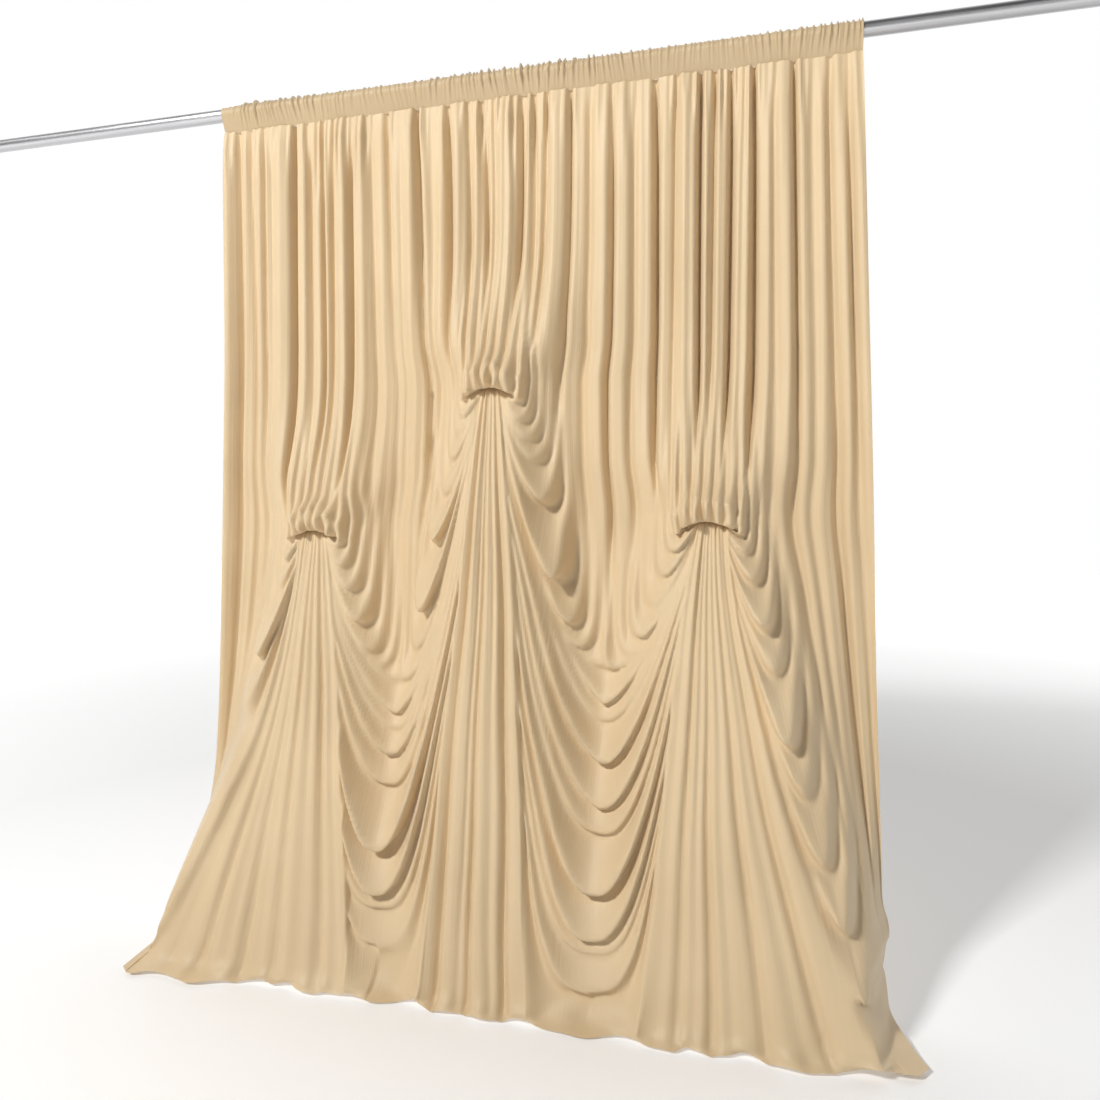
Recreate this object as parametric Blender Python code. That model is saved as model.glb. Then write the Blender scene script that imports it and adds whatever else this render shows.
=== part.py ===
"""A spandex backdrop curtain, gathered on a round rod and picked up in three places.

X runs along the rod, -Y is the front and +Z is up. The sizes below are taken from the middle of
the curtain's heading and from the floor, and add_object moves the origin to the rod's left end.
The curtain is one sheet. Every point of it has two numbers: s, its place across the heading
in metres, and w, its height above the floor, which goes below zero where the sheet lies on it.
"""

import math

import bmesh
import bpy
import numpy as np
from mathutils import Matrix

# ---- driving dimensions, metres -------------------------------------------------
ROD_HEIGHT = 2.44
ROD_DIAMETER = 0.036
ROD_LEFT = -1.80
ROD_RIGHT = 1.47
HEADING_LEFT = -0.888
HEADING_RIGHT = 0.907
SEAM_HEIGHT = 2.385
CLOTH = 0.002
GAP = 0.0003

# ---- the three pick-ups: where the sheet is gathered and tucked under --------------
# name, x, height, forward, then the share of the heading that the gather takes up
PICK_UPS = (
    ("left", -0.545, 1.225, 0.100, -0.600, -0.465),
    ("centre", -0.022, 1.605, 0.105, -0.095, 0.060),
    ("right", 0.548, 1.255, 0.100, 0.475, 0.625),
)
# how the two sides of each gather run: height as a share of the pick-up's, left x, right x
FAN_SIDES = {
    "left": ((1.90, -0.602, -0.466), (1.35, -0.606, -0.466), (1.12, -0.606, -0.470),
             (1.00, -0.592, -0.498), (0.86, -0.612, -0.482), (0.69, -0.652, -0.462), (0.47, -0.728, -0.436),
             (0.24, -0.846, -0.398), (0.10, -0.915, -0.370), (0.00, -0.962, -0.350)),
    "centre": ((1.45, -0.095, 0.060), (1.25, -0.092, 0.057), (1.08, -0.084, 0.048),
               (1.00, -0.060, 0.024), (0.75, -0.082, 0.034), (0.50, -0.106, 0.060),
               (0.22, -0.128, 0.100), (0.00, -0.150, 0.138)),
    "right": ((1.90, 0.478, 0.628), (1.35, 0.480, 0.628), (1.12, 0.484, 0.618),
              (1.00, 0.504, 0.594), (0.86, 0.496, 0.640), (0.70, 0.482, 0.694), (0.50, 0.464, 0.764),
              (0.26, 0.440, 0.868), (0.10, 0.424, 0.930), (0.00, 0.415, 0.965)),
}
# ---- cowls beside each pick-up, going away from it: one row for each fold that hangs down
# there as a U. x of its hanging arm, height of its lowest point, how far it stands out
COWLS_LEFT_OF = {
    "left": ((-0.640, 1.150, 0.044), (-0.708, 0.838, 0.044), (-0.752, 0.720, 0.036)),
    "centre": ((-0.115, 1.530, 0.044), (-0.160, 1.396, 0.050), (-0.208, 1.185, 0.060), (-0.242, 0.985, 0.056),
               (-0.288, 0.797, 0.034)),
    "right": ((0.453, 1.190, 0.044), (0.422, 1.080, 0.044), (0.360, 0.930, 0.050), (0.287, 0.857, 0.034)),
}
COWLS_RIGHT_OF = {
    "left": ((-0.448, 1.140, 0.044), (-0.410, 1.045, 0.044), (-0.360, 0.900, 0.048), (-0.288, 0.797, 0.034)),
    "centre": ((0.080, 1.520, 0.044), (0.110, 1.430, 0.040), (0.152, 1.290, 0.048), (0.182, 1.083, 0.072),
               (0.252, 0.892, 0.040), (0.287, 0.857, 0.024)),
    "right": ((0.645, 1.180, 0.044), (0.690, 1.060, 0.046), (0.766, 0.704, 0.056), (0.848, 0.440, 0.036),
              (0.910, 0.250, 0.050)),
}
COWL_ARM = 2.3               # how late the inner arm of a cowl climbs to the pick-up
SWAG_END = 0.12              # how near the swags end to the fan's edge, as a share of its reach
COWL_END = 0.55              # the same for the cowls
COWL_ROUND = 0.26            # how round a cowl hangs, as a share of its width
# the bundle over each pick-up: how far each fold is from its middle, at the heading and at the roll
BUNDLE = ((0.000, 0.000), (0.036, 0.026), (0.066, 0.056))
ROLL_STEP = 0.009            # how much lower each next fold of the roll hangs
FOLD_STAND = 0.017           # how far the folds of the bundle stand out
ROLL_HALF = 0.086            # half the width of the roll over a pick-up
ROLL_SAG = 0.046             # how much lower its ends hang
ROLL_SWELL = 0.030           # how far it swells out
ROLL_TUCK = 0.026            # how far the cloth goes back in under it
ROLL_HANG = 0.012            # how far it hangs over the fan
# the two free sides: height, left x, right x
FREE_SIDES = ((2.385, -0.888, 0.907), (1.80, -0.893, 0.930), (1.30, -0.909, 0.950),
              (0.90, -0.926, 0.963), (0.45, -0.949, 0.981), (0.30, -0.964, 0.985), (0.22, -0.982, 1.003),
              (0.17, -0.996, 0.998), (0.13, -0.984, 0.990), (0.08, -0.990, 1.000), (0.00, -1.003, 1.000))

# ---- creases that run down from the heading ---------------------------------------
# x at the heading, slide to the right for each metre down, depth, height where it is deepest
CREASES = (
    (-0.960, 0.000, 0.010, 1.60), (-0.842, 0.000, 0.020, 1.40), (-0.750, 0.004, 0.020, 1.80),
    (-0.654, 0.000, 0.030, 1.90), (-0.568, 0.010, 0.016, 1.75), (-0.474, 0.002, 0.020, 1.90),
    (-0.412, 0.012, 0.012, 1.70), (-0.358, 0.020, 0.014, 2.10), (-0.268, 0.026, 0.028, 2.05),
    (-0.176, 0.006, 0.026, 1.95), (-0.118, 0.012, 0.012, 2.05), (-0.055, 0.018, 0.018, 1.90),
    (0.040, -0.010, 0.020, 1.95), (0.108, -0.008, 0.018, 2.05), (0.172, -0.002, 0.018, 1.60),
    (0.286, 0.000, 0.022, 1.70), (0.342, 0.002, 0.012, 1.40), (0.401, 0.004, 0.028, 1.95),
    (0.450, -0.004, 0.014, 2.10), (0.512, 0.004, 0.026, 1.90), (0.588, 0.000, 0.026, 1.95),
    (0.648, 0.004, 0.026, 1.80), (0.744, 0.008, 0.028, 1.90), (0.826, 0.010, 0.020, 1.20),
    (0.869, 0.014, 0.018, 1.70), (0.960, 0.000, 0.010, 1.60),
)
CREASE_HALF = 0.0100         # how wide a crease is, at half its depth
BROAD_WAVE = 0.007           # how far the bands wave forward and back together
BROAD_PITCH = 0.171          # and how wide that wave is
FOLD_BASE = 0.012            # how far in front of the wall line the creases start
CREASE_REACH = 0.85          # how far up and down a crease keeps its depth
CREASE_DEPTH = 1.7           # all creases deeper or shallower

# ---- how far forward the sheet stands on the floor --------------------------------
# s, depth where it meets the floor, sideways slide of the hem, lateness
FOOT = (
    (-0.888, 0.035, 0.003, 9.0),
    (-0.800, 0.130, 0.000, 7.0),
    (-0.700, 0.225, 0.000, 4.4),
    (-0.600, 0.295, 0.000, 2.2),
    (-0.530, 0.300, 0.000, 1.5),
    (-0.290, 0.270, 0.000, 1.5),
    (-0.020, 0.285, 0.000, 1.3),
    (0.270, 0.270, 0.000, 1.5),
    (0.550, 0.285, 0.000, 1.4),
    (0.650, 0.265, 0.010, 2.2),
    (0.780, 0.180, 0.035, 4.6),
    (0.907, 0.030, 0.066, 9.0),
)
# ---- where the hem lies: x, how far forward
HEM = (
    (-1.006, 0.365), (-0.968, 0.388), (-0.883, 0.366), (-0.776, 0.386), (-0.676, 0.352), (-0.560, 0.336),
    (-0.470, 0.350), (-0.342, 0.331), (-0.231, 0.326), (-0.028, 0.332), (0.107, 0.320), (0.280, 0.338),
    (0.372, 0.318), (0.500, 0.340), (0.659, 0.312), (0.782, 0.344), (0.923, 0.305), (1.034, 0.299),
    (1.066, 0.262),
)

# ---- swags: one row for each fold that hangs between two pick-ups ------------------
# lowest height, how far it stands out, and how steeply its left and right arms climb
SWAGS_LEFT = (
    (0.722, 0.042, 1.8, 1.7),
    (0.622, 0.050, 1.9, 1.9),
    (0.425, 0.092, 2.2, 2.1),
    (0.285, 0.060, 2.5, 2.4),
    (0.120, 0.040, 2.9, 2.8),
)
SWAGS_RIGHT = (
    (0.782, 0.040, 1.6, 1.7),
    (0.658, 0.056, 1.8, 1.9),
    (0.520, 0.044, 2.0, 2.1),
    (0.357, 0.088, 2.2, 2.3),
    (0.200, 0.046, 2.5, 2.6),
)
SPLIT_LEFT, SPLIT_RIGHT = -0.288, 0.287          # x where the swags of each bay hang lowest

# ---- creases between the pleats of each fan, outermost first: foot x, how late it turns
# outwards, how deep it is. The first row of a side is the crown of the fan's edge
PLEATS_LEFT_OF = {
    "left": ((-0.980, 2.15, 0.036), (-0.800, 1.75, 0.042), (-0.664, 1.25, 0.074), (-0.560, 1.00, 0.030)),
    "centre": ((-0.150, 0.75, 0.030), (-0.110, 0.80, 0.034), (-0.022, 1.00, 0.032)),
    "right": ((0.415, 0.75, 0.030), (0.500, 0.90, 0.038)),
}
PLEATS_RIGHT_OF = {
    "left": ((-0.350, 0.75, 0.030), (-0.432, 0.85, 0.034)),
    "centre": ((0.138, 0.75, 0.030), (0.078, 0.80, 0.036)),
    "right": ((0.985, 1.60, 0.036), (0.862, 1.50, 0.032), (0.715, 1.25, 0.034), (0.584, 1.00, 0.052)),
}
LEAF = 0.12                  # share of a pleat's reach that it already has at the pick-up
HEM_W = -0.10                # w at the hem, on the floor
CORNER = 0.022               # how softly the sheet turns onto the floor
TIGHTEST = 0.002             # least distance between two crowns
FULLNESS = 1.00              # a fold never stands out further than this share of its width
CREST = 1.25                 # how round a crown is
WANDER = 0.003               # how far a fold strays to the side as it runs
FADE_BESIDE = 0.040          # how far beside a fan the folds still hang less
OUTER_DROOP = 0.3            # the folds on the outer sides hang down less
TENT_SIDE = 0.085            # how far beside a gather the cloth is drawn forward with it
TENT_ABOVE = 0.060           # how much further it is above the roll
TENT_BELOW = 0.110           # and at the foot of the fan
TENT_HIGH = 0.24             # how far above the roll the cloth is still drawn forward
TENT_JOIN = 3                # how round the cloth runs from one gather's pull to the next
SWING_FROM = 1.25            # below this height the cloth runs forward to its foot
STEP = 0.001                 # spacing for slopes
DROOP = 0.75                 # how far a fold hangs down for each metre it stands out
ARMS_UP = 0.42               # how far above a cowl its arms still show
BUNDLE_HIGH = 0.45           # how far above a roll the folds of its bundle draw together
TIGHT_TURN, WIDE_TURN = 0.006, 0.026             # how sharply and how softly a fold may turn
SWELL = 1.6                  # how full a narrow fold stands
VALLEY, VALLEY_SHIFT = 0.50, 0.20                # where the valley lies, and how much nearer a level crown
PLEAT_CROWN = 0.030          # how far a pleat of a fan stands out
BLUNT, SHARP, SHARPNESS = 1.7, 5.0, 0.7          # least, most and usual sharpness of a crease
LEAST_CREASE = 0.45          # share of its depth that a crease keeps far from where it is deepest
UNEVEN = 0.22                # how much a fold varies along its length
TOP_RELIEF = 0.35            # share of a fold's depth that it has at the seam
LYING = 0.7                  # how high a fold lies on the floor, as a share of its depth


def smoothstep(low, high, value):
    t = np.clip((value - low) / (high - low), 0.0, 1.0)
    return t * t * (3.0 - 2.0 * t)


def bell(value, half):
    return np.exp(-((value / half) ** 2))


def column(rows, index):
    return np.array([row[index] for row in rows])


def eased(value, places, heights):
    """Interpolates between rows without a kink at any of them."""
    order = np.argsort(places)
    places = np.asarray(places, float)[order]
    heights = np.asarray(heights, float)[order]
    steps = np.diff(heights) / np.diff(places)
    slopes = np.zeros(len(places))
    same = steps[1:] * steps[:-1] > 0
    slopes[1:-1] = np.where(same, 2 * steps[1:] * steps[:-1] / np.where(same, steps[1:] + steps[:-1], 1), 0)
    slopes[0], slopes[-1] = steps[0], steps[-1]
    value = np.clip(value, places[0], places[-1])
    k = np.clip(np.searchsorted(places, value, side="right") - 1, 0, len(places) - 2)
    h = places[k + 1] - places[k]
    t = (value - places[k]) / h
    return ((2 * t**3 - 3 * t**2 + 1) * heights[k] + (t**3 - 2 * t**2 + t) * h * slopes[k]
            + (3 * t**2 - 2 * t**3) * heights[k + 1] + (t**3 - t**2) * h * slopes[k + 1])


def reach(z, pick, row):
    """How far to the side of its pick-up a pleat runs at each height."""
    _, middle, top, *_ = pick
    foot, late, _ = row
    fall = np.clip(1.0 - z / top, 0.0, 1.2)
    return (foot - middle) * (LEAF + (1.0 - LEAF) * fall ** late)


def across(s, z):
    """x of each point: threads run down from the heading, crowd at a pick-up and fan out below."""
    heights = column(FREE_SIDES, 0)
    anchors = [HEADING_LEFT]
    places = [eased(z, heights, column(FREE_SIDES, 1))]
    for name, _, top, _, start, end in PICK_UPS:
        rows = FAN_SIDES[name]
        levels = column(rows, 0) * top
        for anchor, side in ((start, 1), (end, 2)):
            anchors.append(anchor)
            places.append(eased(z, levels, column(rows, side)))
    anchors.append(HEADING_RIGHT)
    places.append(eased(z, heights, column(FREE_SIDES, 2)))
    x = places[0].copy()
    for i in range(len(anchors) - 1):
        share = np.clip((s - anchors[i]) / (anchors[i + 1] - anchors[i]), 0.0, 1.0)
        x = x + (places[i + 1] - places[i]) * share
    return x


def softest(values, soft):
    """A rounded maximum of several distances, and the share that each has in it."""
    most = np.maximum.reduce(values)
    shares = [np.exp((value - most) / soft) for value in values]
    total = sum(shares)
    return most + soft * np.log(total), [share / total for share in shares]


def bundle_curves(x, z, pick, sign):
    """Distances from the crowns of the folds that run down into the roll over a pick-up."""
    _, middle, top, *_ = pick
    rise = smoothstep(0.0, BUNDLE_HIGH, z - top)
    curves = []
    for k, (at_heading, at_roll) in enumerate(BUNDLE):
        place = at_roll + (at_heading - at_roll) * rise
        distance, shares = softest([sign * (x - middle) - place, top - ROLL_STEP * k - z], TIGHT_TURN)
        curves.append((distance, np.full(x.shape, FOLD_STAND), 0.6 * shares[1]))
    return curves


def cowl_curves(x, z, pick, sign, cowls, edge):
    """Distances from the crowns of the cowls: each hangs straight down, turns and climbs beside the fan."""
    _, middle, top, *_ = pick
    fan = COWL_END * sign * reach(z, pick, edge)
    out = sign * (x - middle)
    curves = []
    for arm, low, stand in cowls:
        wide = sign * (arm - middle)
        inner = sign * reach(np.array(low), pick, edge)
        soft = float(np.clip(COWL_ROUND * (wide - inner), TIGHT_TURN, WIDE_TURN))
        room = np.maximum(wide - fan, 2 * TIGHTEST)
        share = np.clip((wide - out) / room, 0.0, 1.0)
        climb = COWL_ARM * (top - low) / room * share ** (COWL_ARM - 1.0)
        level_there = 1.0 / np.sqrt(1.0 + climb**2)
        below = (low + (top - low) * share ** COWL_ARM - z) * level_there
        distance, shares = softest([out - wide, below], soft)
        curves.append((distance, np.full(x.shape, stand), shares[1] * level_there))
    return curves


def swag_curves(x, z, pick, sign, swags, arm_column, split, edge):
    """Distances from the crowns of the swags between two pick-ups."""
    _, middle, top, *_ = pick
    end = middle + SWAG_END * reach(z, pick, edge)
    arm = np.clip((x - split) / (end - split), 0.0, 1.0)
    arm_next = np.clip((x + STEP - split) / (end - split), 0.0, 1.0)
    curves = []
    for row in swags:
        height = row[0] + (top - row[0]) * arm ** row[arm_column]
        height_next = row[0] + (top - row[0]) * arm_next ** row[arm_column]
        level = 1.0 / np.sqrt(1.0 + ((height_next - height) / STEP) ** 2)
        curves.append(((height - z) * level, np.full(x.shape, row[1]), level))
    return curves


def side_curves(x, z, pick, sign, cowls, swags, arm_column, split, pleats):
    """Signed distances from each fold's crown on one side of a pick-up, nearest fold first.

    Below or outside a crown its distance is positive. Each comes with how far the fold stands out
    and how level its crown runs there.
    """
    edge = sign * reach(z, pick, pleats[0]) - sign * (x - pick[1])
    curves = bundle_curves(x, z, pick, sign) + cowl_curves(x, z, pick, sign, cowls, pleats[0])
    if swags:
        curves += swag_curves(x, z, pick, sign, swags, arm_column, split, pleats[0])
        edge = np.maximum(edge, -0.12 - z)
    beside = smoothstep(0.0, FADE_BESIDE, -edge) * (1.0 if swags else OUTER_DROOP)
    curves = [(distance, stand, flat * beside) for distance, stand, flat in curves]
    curves.append((edge, np.full(x.shape, pleats[0][2]), 0.0 * x))
    return curves


def fold_between(curves):
    """How far the cloth stands out between the crowns, and how level it runs there."""
    relief = np.zeros(curves[0][0].shape)
    level = np.zeros(relief.shape)
    distance, stand, flat = curves[0]
    for next_distance, next_stand, next_flat in curves[1:]:
        next_distance = np.minimum(next_distance, distance - TIGHTEST)
        inside = (distance >= 0) & (next_distance < 0)
        room = distance - next_distance
        f = np.clip(distance / room, 0.0, 1.0)
        run = flat * (1 - f) + next_flat * f
        valley = VALLEY - VALLEY_SHIFT * run
        turn = np.where(f < valley, 0.5 * f / valley, 0.5 + 0.5 * (f - valley) / (1 - valley))
        wave = np.abs(np.cos(math.pi * turn)) ** CREST
        size = stand * (1 - f) + next_stand * f
        limit = FULLNESS * room
        relief = np.where(inside, SWELL * wave * size * limit / (size + limit), relief)
        level = np.where(inside, run, level)
        distance, stand, flat = next_distance, next_stand, next_flat
    return relief, level, distance


def fan_folds(x, z, pick):
    """Broad pleats of one fan with a narrow crease between each two, and where the fan is."""
    name, middle, top, *_ = pick
    rows = list(PLEATS_LEFT_OF[name]) + list(reversed(PLEATS_RIGHT_OF[name]))
    places = [middle + reach(z, pick, row) for row in rows]
    under = smoothstep(0.0, 0.03, top - z)
    folds = np.zeros(x.shape)
    within = np.zeros(x.shape, bool)
    last = len(rows) - 1
    for k in range(last):
        room = np.maximum(places[k + 1] - places[k], 1e-5)
        inside = (x >= places[k]) & (x < places[k + 1]) & (z < top - 0.004)
        f = np.clip((x - places[k]) / room, 0.0, 1.0)
        sharp = np.clip(SHARPNESS * room / (2 * CREASE_HALF), BLUNT, SHARP)
        if k == 0:
            dip = f ** sharp
            deep, crown = rows[1][2], rows[0][2]
        elif k == last - 1:
            dip = (1 - f) ** sharp
            deep, crown = rows[k][2], rows[last][2]
        else:
            dip = np.abs(2 * f - 1) ** sharp
            deep = rows[k][2] * (1 - f) + rows[k + 1][2] * f
            crown = PLEAT_CROWN
        deep = deep * (0.85 + 0.35 * np.sin(4.1 * z + 2.3 * k + 9.0 * middle))
        limit = 0.85 * FULLNESS * room
        tall = SWELL * crown * limit / (crown + limit)
        cut = np.minimum(SWELL * deep * limit / (deep + limit), tall + deep)
        folds = np.where(inside, under * (tall - cut * dip), folds)
        within = within | inside
    return folds, within


def relief_at(x, z):
    """How far the folds stand out from the hanging cloth, and how level they run, at each point."""
    left, centre, right = PICK_UPS
    sides = (
        (left, -1, x < left[1], COWLS_LEFT_OF["left"], None, 0, 0, PLEATS_LEFT_OF["left"]),
        (left, 1, (x >= left[1]) & (x < SPLIT_LEFT), COWLS_RIGHT_OF["left"], SWAGS_LEFT, 2, SPLIT_LEFT,
         PLEATS_RIGHT_OF["left"]),
        (centre, -1, (x >= SPLIT_LEFT) & (x < centre[1]), COWLS_LEFT_OF["centre"], SWAGS_LEFT, 3, SPLIT_LEFT,
         PLEATS_LEFT_OF["centre"]),
        (centre, 1, (x >= centre[1]) & (x < SPLIT_RIGHT), COWLS_RIGHT_OF["centre"], SWAGS_RIGHT, 2, SPLIT_RIGHT,
         PLEATS_RIGHT_OF["centre"]),
        (right, -1, (x >= SPLIT_RIGHT) & (x < right[1]), COWLS_LEFT_OF["right"], SWAGS_RIGHT, 3, SPLIT_RIGHT,
         PLEATS_LEFT_OF["right"]),
        (right, 1, x >= right[1], COWLS_RIGHT_OF["right"], None, 0, 0, PLEATS_RIGHT_OF["right"]),
    )
    relief = np.zeros(x.shape)
    level = np.zeros(x.shape)
    for pick, sign, here, cowls, swags, arm_column, split, pleats in sides:
        curves = side_curves(x, z, pick, sign, cowls, swags, arm_column, split, pleats)
        one, run, beyond = fold_between(curves)
        one, run = np.where(beyond >= 0, 0.0, one), np.where(beyond >= 0, 0.0, run)
        relief = np.where(here, one, relief)
        level = np.where(here, run, level)
    for pick in PICK_UPS:
        folds, within = fan_folds(x, z, pick)
        relief = np.where(within, folds, relief)
        level = np.where(within, 0.0, level)
    return relief, level


def cowl_line(x):
    """Height where the hanging folds end and turn up into the cowls."""
    points = [(HEADING_LEFT - 0.12, 0.0), (HEADING_RIGHT + 0.12, 0.0)]
    for name, middle, top, *_ in PICK_UPS:
        points.append((middle, top))
        points += [(arm, low) for arm, low, _ in COWLS_LEFT_OF[name] + COWLS_RIGHT_OF[name]]
    points = sorted(set(points))
    return eased(x, column(points, 0), column(points, 1))


def hanging_folds(s, z, squeeze):
    """Soft bands between the creases that run down from the heading."""
    place, slide, deep, best = CREASES[0]
    down = SEAM_HEIGHT - z
    stray = 0.4 * WANDER * np.sin(3.1 * z + 17.0 * s)
    before = place + slide * down
    deep_before = CREASE_DEPTH * deep * (LEAST_CREASE + (1 - LEAST_CREASE) * bell(z - best, CREASE_REACH))
    folds = np.zeros(s.shape)
    for place, slide, deep, best in CREASES[1:]:
        after = place + slide * down
        deep_after = CREASE_DEPTH * deep * (LEAST_CREASE + (1 - LEAST_CREASE) * bell(z - best, CREASE_REACH))
        room = after - before
        inside = (s + stray >= before) & (s + stray < after)
        f = np.clip((s + stray - before) / room, 0.0, 1.0)
        sharp = np.clip(SHARPNESS * room / (2 * CREASE_HALF), BLUNT, SHARP)
        cut = np.minimum(deep_before * (1 - f) + deep_after * f, 0.9 * room * squeeze)
        swell = 0.10 * room * squeeze * np.sin(math.pi * f)
        folds = np.where(inside, swell - cut * np.abs(2 * f - 1) ** sharp, folds)
        before, deep_before = after, deep_after
    broad = BROAD_WAVE * np.sin(2 * math.pi * s / BROAD_PITCH + 1.9 * np.sin(5.3 * s) + 0.8 * z)
    return folds + broad * squeeze + FOLD_BASE


def roll_over(x, z, pick):
    """How far the roll over a pick-up swells out, and how far it hangs down over the fan."""
    _, middle, top, *_ = pick
    aside = (x - middle) / ROLL_HALF
    here = np.exp(-(aside ** 4))
    above = z - top + ROLL_SAG * aside ** 2
    swell = ROLL_SWELL * bell(above - 0.034, 0.036) - ROLL_TUCK * bell(above + 0.006, 0.014)
    hang = ROLL_HANG * bell(above - 0.014, 0.015)
    return swell * here, hang * here


def sheet_point(s, w):
    """World x, y and z of the sheet's front at (s, w), as three arrays."""
    s, w = np.broadcast_arrays(np.asarray(s, float), np.asarray(w, float))
    z = CORNER * np.logaddexp(0.0, w / CORNER)
    on_floor = CORNER * np.logaddexp(0.0, -w / CORNER)
    lie = 1.0 / (1.0 + np.exp(np.clip(w / CORNER, -40, 40)))
    places = column(FOOT, 0)
    foot = eased(s, places, column(FOOT, 1))
    late = eased(s, places, column(FOOT, 3))
    share = np.clip(-on_floor / HEM_W, 0, 1.2)
    straight_x = across(s, z)
    squeeze = np.clip((across(s + STEP, z) - across(s - STEP, z)) / (2 * STEP), 0.2, 1.2)
    x = straight_x + eased(s, places, column(FOOT, 2)) * share
    hem = eased(x, column(HEM, 0), column(HEM, 1))
    forward = foot * np.clip(1.0 - z / SWING_FROM, 0.0, 1.0) ** late

    tent = np.zeros(s.shape)
    roll = np.zeros(s.shape)
    hang = np.zeros(s.shape)
    for pick in PICK_UPS:
        name, _, top, out, *_ = pick
        rows = FAN_SIDES[name]
        levels = column(rows, 0) * top
        left = eased(z, levels, column(rows, 1))
        right = eased(z, levels, column(rows, 2))
        middle, half = (left + right) / 2, (right - left) / 2
        aside = np.maximum(np.abs(straight_x - middle) - half, 0.0)
        above = np.clip(z - top, 0, None)
        fall = np.clip(1.0 - z / top, 0.0, 1.0)
        spread = TENT_SIDE + TENT_ABOVE * smoothstep(0.0, TENT_HIGH, above) + TENT_BELOW * fall
        straight = out + (foot - out) * fall
        gain = np.where(z > top, out * bell(above, TENT_HIGH), straight - forward)
        tent = tent + (np.clip(gain, 0, None) * bell(aside, spread)) ** TENT_JOIN
        swell, down = roll_over(straight_x, z, pick)
        roll, hang = roll + swell, hang + down
    forward = forward + tent ** (1 / TENT_JOIN) + roll
    wander_x = straight_x + WANDER * (np.sin(4.3 * z + 9.0 * straight_x) + 0.6 * np.sin(10.7 * z - 6.0 * straight_x))
    folds, level = relief_at(wander_x, z)
    folds = folds * (1.0 + UNEVEN * np.sin(5.1 * z + 21.0 * straight_x) * np.sin(3.3 * z - 13.0 * straight_x + 1.0))
    lower = smoothstep(ARMS_UP, 0.04, z - cowl_line(wander_x))
    folds = folds * lower + hanging_folds(s, z, squeeze) * (1 - lower)
    level = level * lower
    settle = TOP_RELIEF + (1 - TOP_RELIEF) * smoothstep(SEAM_HEIGHT, SEAM_HEIGHT - 0.10, z)
    relief = folds * settle
    droop = DROOP * relief * level * (1 - lie) * smoothstep(0.0, 0.08, z) + hang
    depth_out = forward + relief * (1 - lie * share) + (hem - foot) * share
    y = -depth_out
    height = z - droop + LYING * np.clip(relief, 0, None) * lie * (1 - 0.6 * share) + CLOTH * 1.2
    return x, y, height


def outward(x, y, z):
    """Unit normals of the grid of points, pointing at the viewer."""
    points = np.stack([x, y, z], -1)
    across_grid = np.gradient(points, axis=1)
    down_grid = np.gradient(points, axis=0)
    normal = np.cross(down_grid, across_grid)
    normal /= np.maximum(np.linalg.norm(normal, axis=-1, keepdims=True), 1e-12)
    return normal


def thick_sheet(name, front, back):
    """A closed solid from two grids of points of one shape."""
    rows, cols, _ = front.shape
    mesh = bpy.data.meshes.new(name)
    bm = bmesh.new()
    layers = []
    for grid in (front, back):
        layers.append([[bm.verts.new(grid[i, j]) for j in range(cols)] for i in range(rows)])
    face, rear = layers
    for i in range(rows - 1):
        for j in range(cols - 1):
            bm.faces.new((face[i][j], face[i + 1][j], face[i + 1][j + 1], face[i][j + 1]))
            bm.faces.new((rear[i][j], rear[i][j + 1], rear[i + 1][j + 1], rear[i + 1][j]))
    rim = [(0, j) for j in range(cols)] + [(i, cols - 1) for i in range(1, rows)]
    rim += [(rows - 1, j) for j in range(cols - 2, -1, -1)] + [(i, 0) for i in range(rows - 2, 0, -1)]
    for (a, b), (c, d) in zip(rim, rim[1:] + rim[:1]):
        bm.faces.new((face[a][b], face[c][d], rear[c][d], rear[a][b]))
    bm.to_mesh(mesh)
    bm.free()
    return add_object(name, mesh)


def add_object(name, mesh):
    """The finished object, with the origin moved to the middle of the rod's left end."""
    mesh.transform(Matrix.Translation((-ROD_LEFT, 0.0, -ROD_HEIGHT)))
    mesh.shade_smooth()
    obj = bpy.data.objects.new(name, mesh)
    bpy.context.scene.collection.objects.link(obj)
    return obj


def give_material(obj, colour, roughness, metallic):
    material = bpy.data.materials.new(obj.name)
    material.use_nodes = True
    shader = material.node_tree.nodes["Principled BSDF"]
    shader.inputs["Base Color"].default_value = (*colour, 1.0)
    shader.inputs["Roughness"].default_value = roughness
    shader.inputs["Metallic"].default_value = metallic
    obj.data.materials.append(material)


# ---- the solid sheet's own grid: shares of the way down between one line and the next
UPPER_STEPS = (0.0, 0.10, 0.35, 0.68)
BESIDE_STEPS = (0.0, 0.20, 0.38, 0.54, 0.69, 0.82, 0.93)
SWAG_STEPS = (0.0, 0.32)
FOOT_STEPS = (0.0, 0.35, 0.65, 0.87)
FLOOR_STEPS = (0.0, 0.30, 0.65, 1.0)
UPPER_END = 1.70             # below this the rows begin to follow the folds
NARROW = 0.030               # folds further apart than this get a column between them
COLUMN_ROOM = 0.0080         # columns stand no closer than this
SETTLE_ROUNDS = 6            # rounds that place a row on its line


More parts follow.
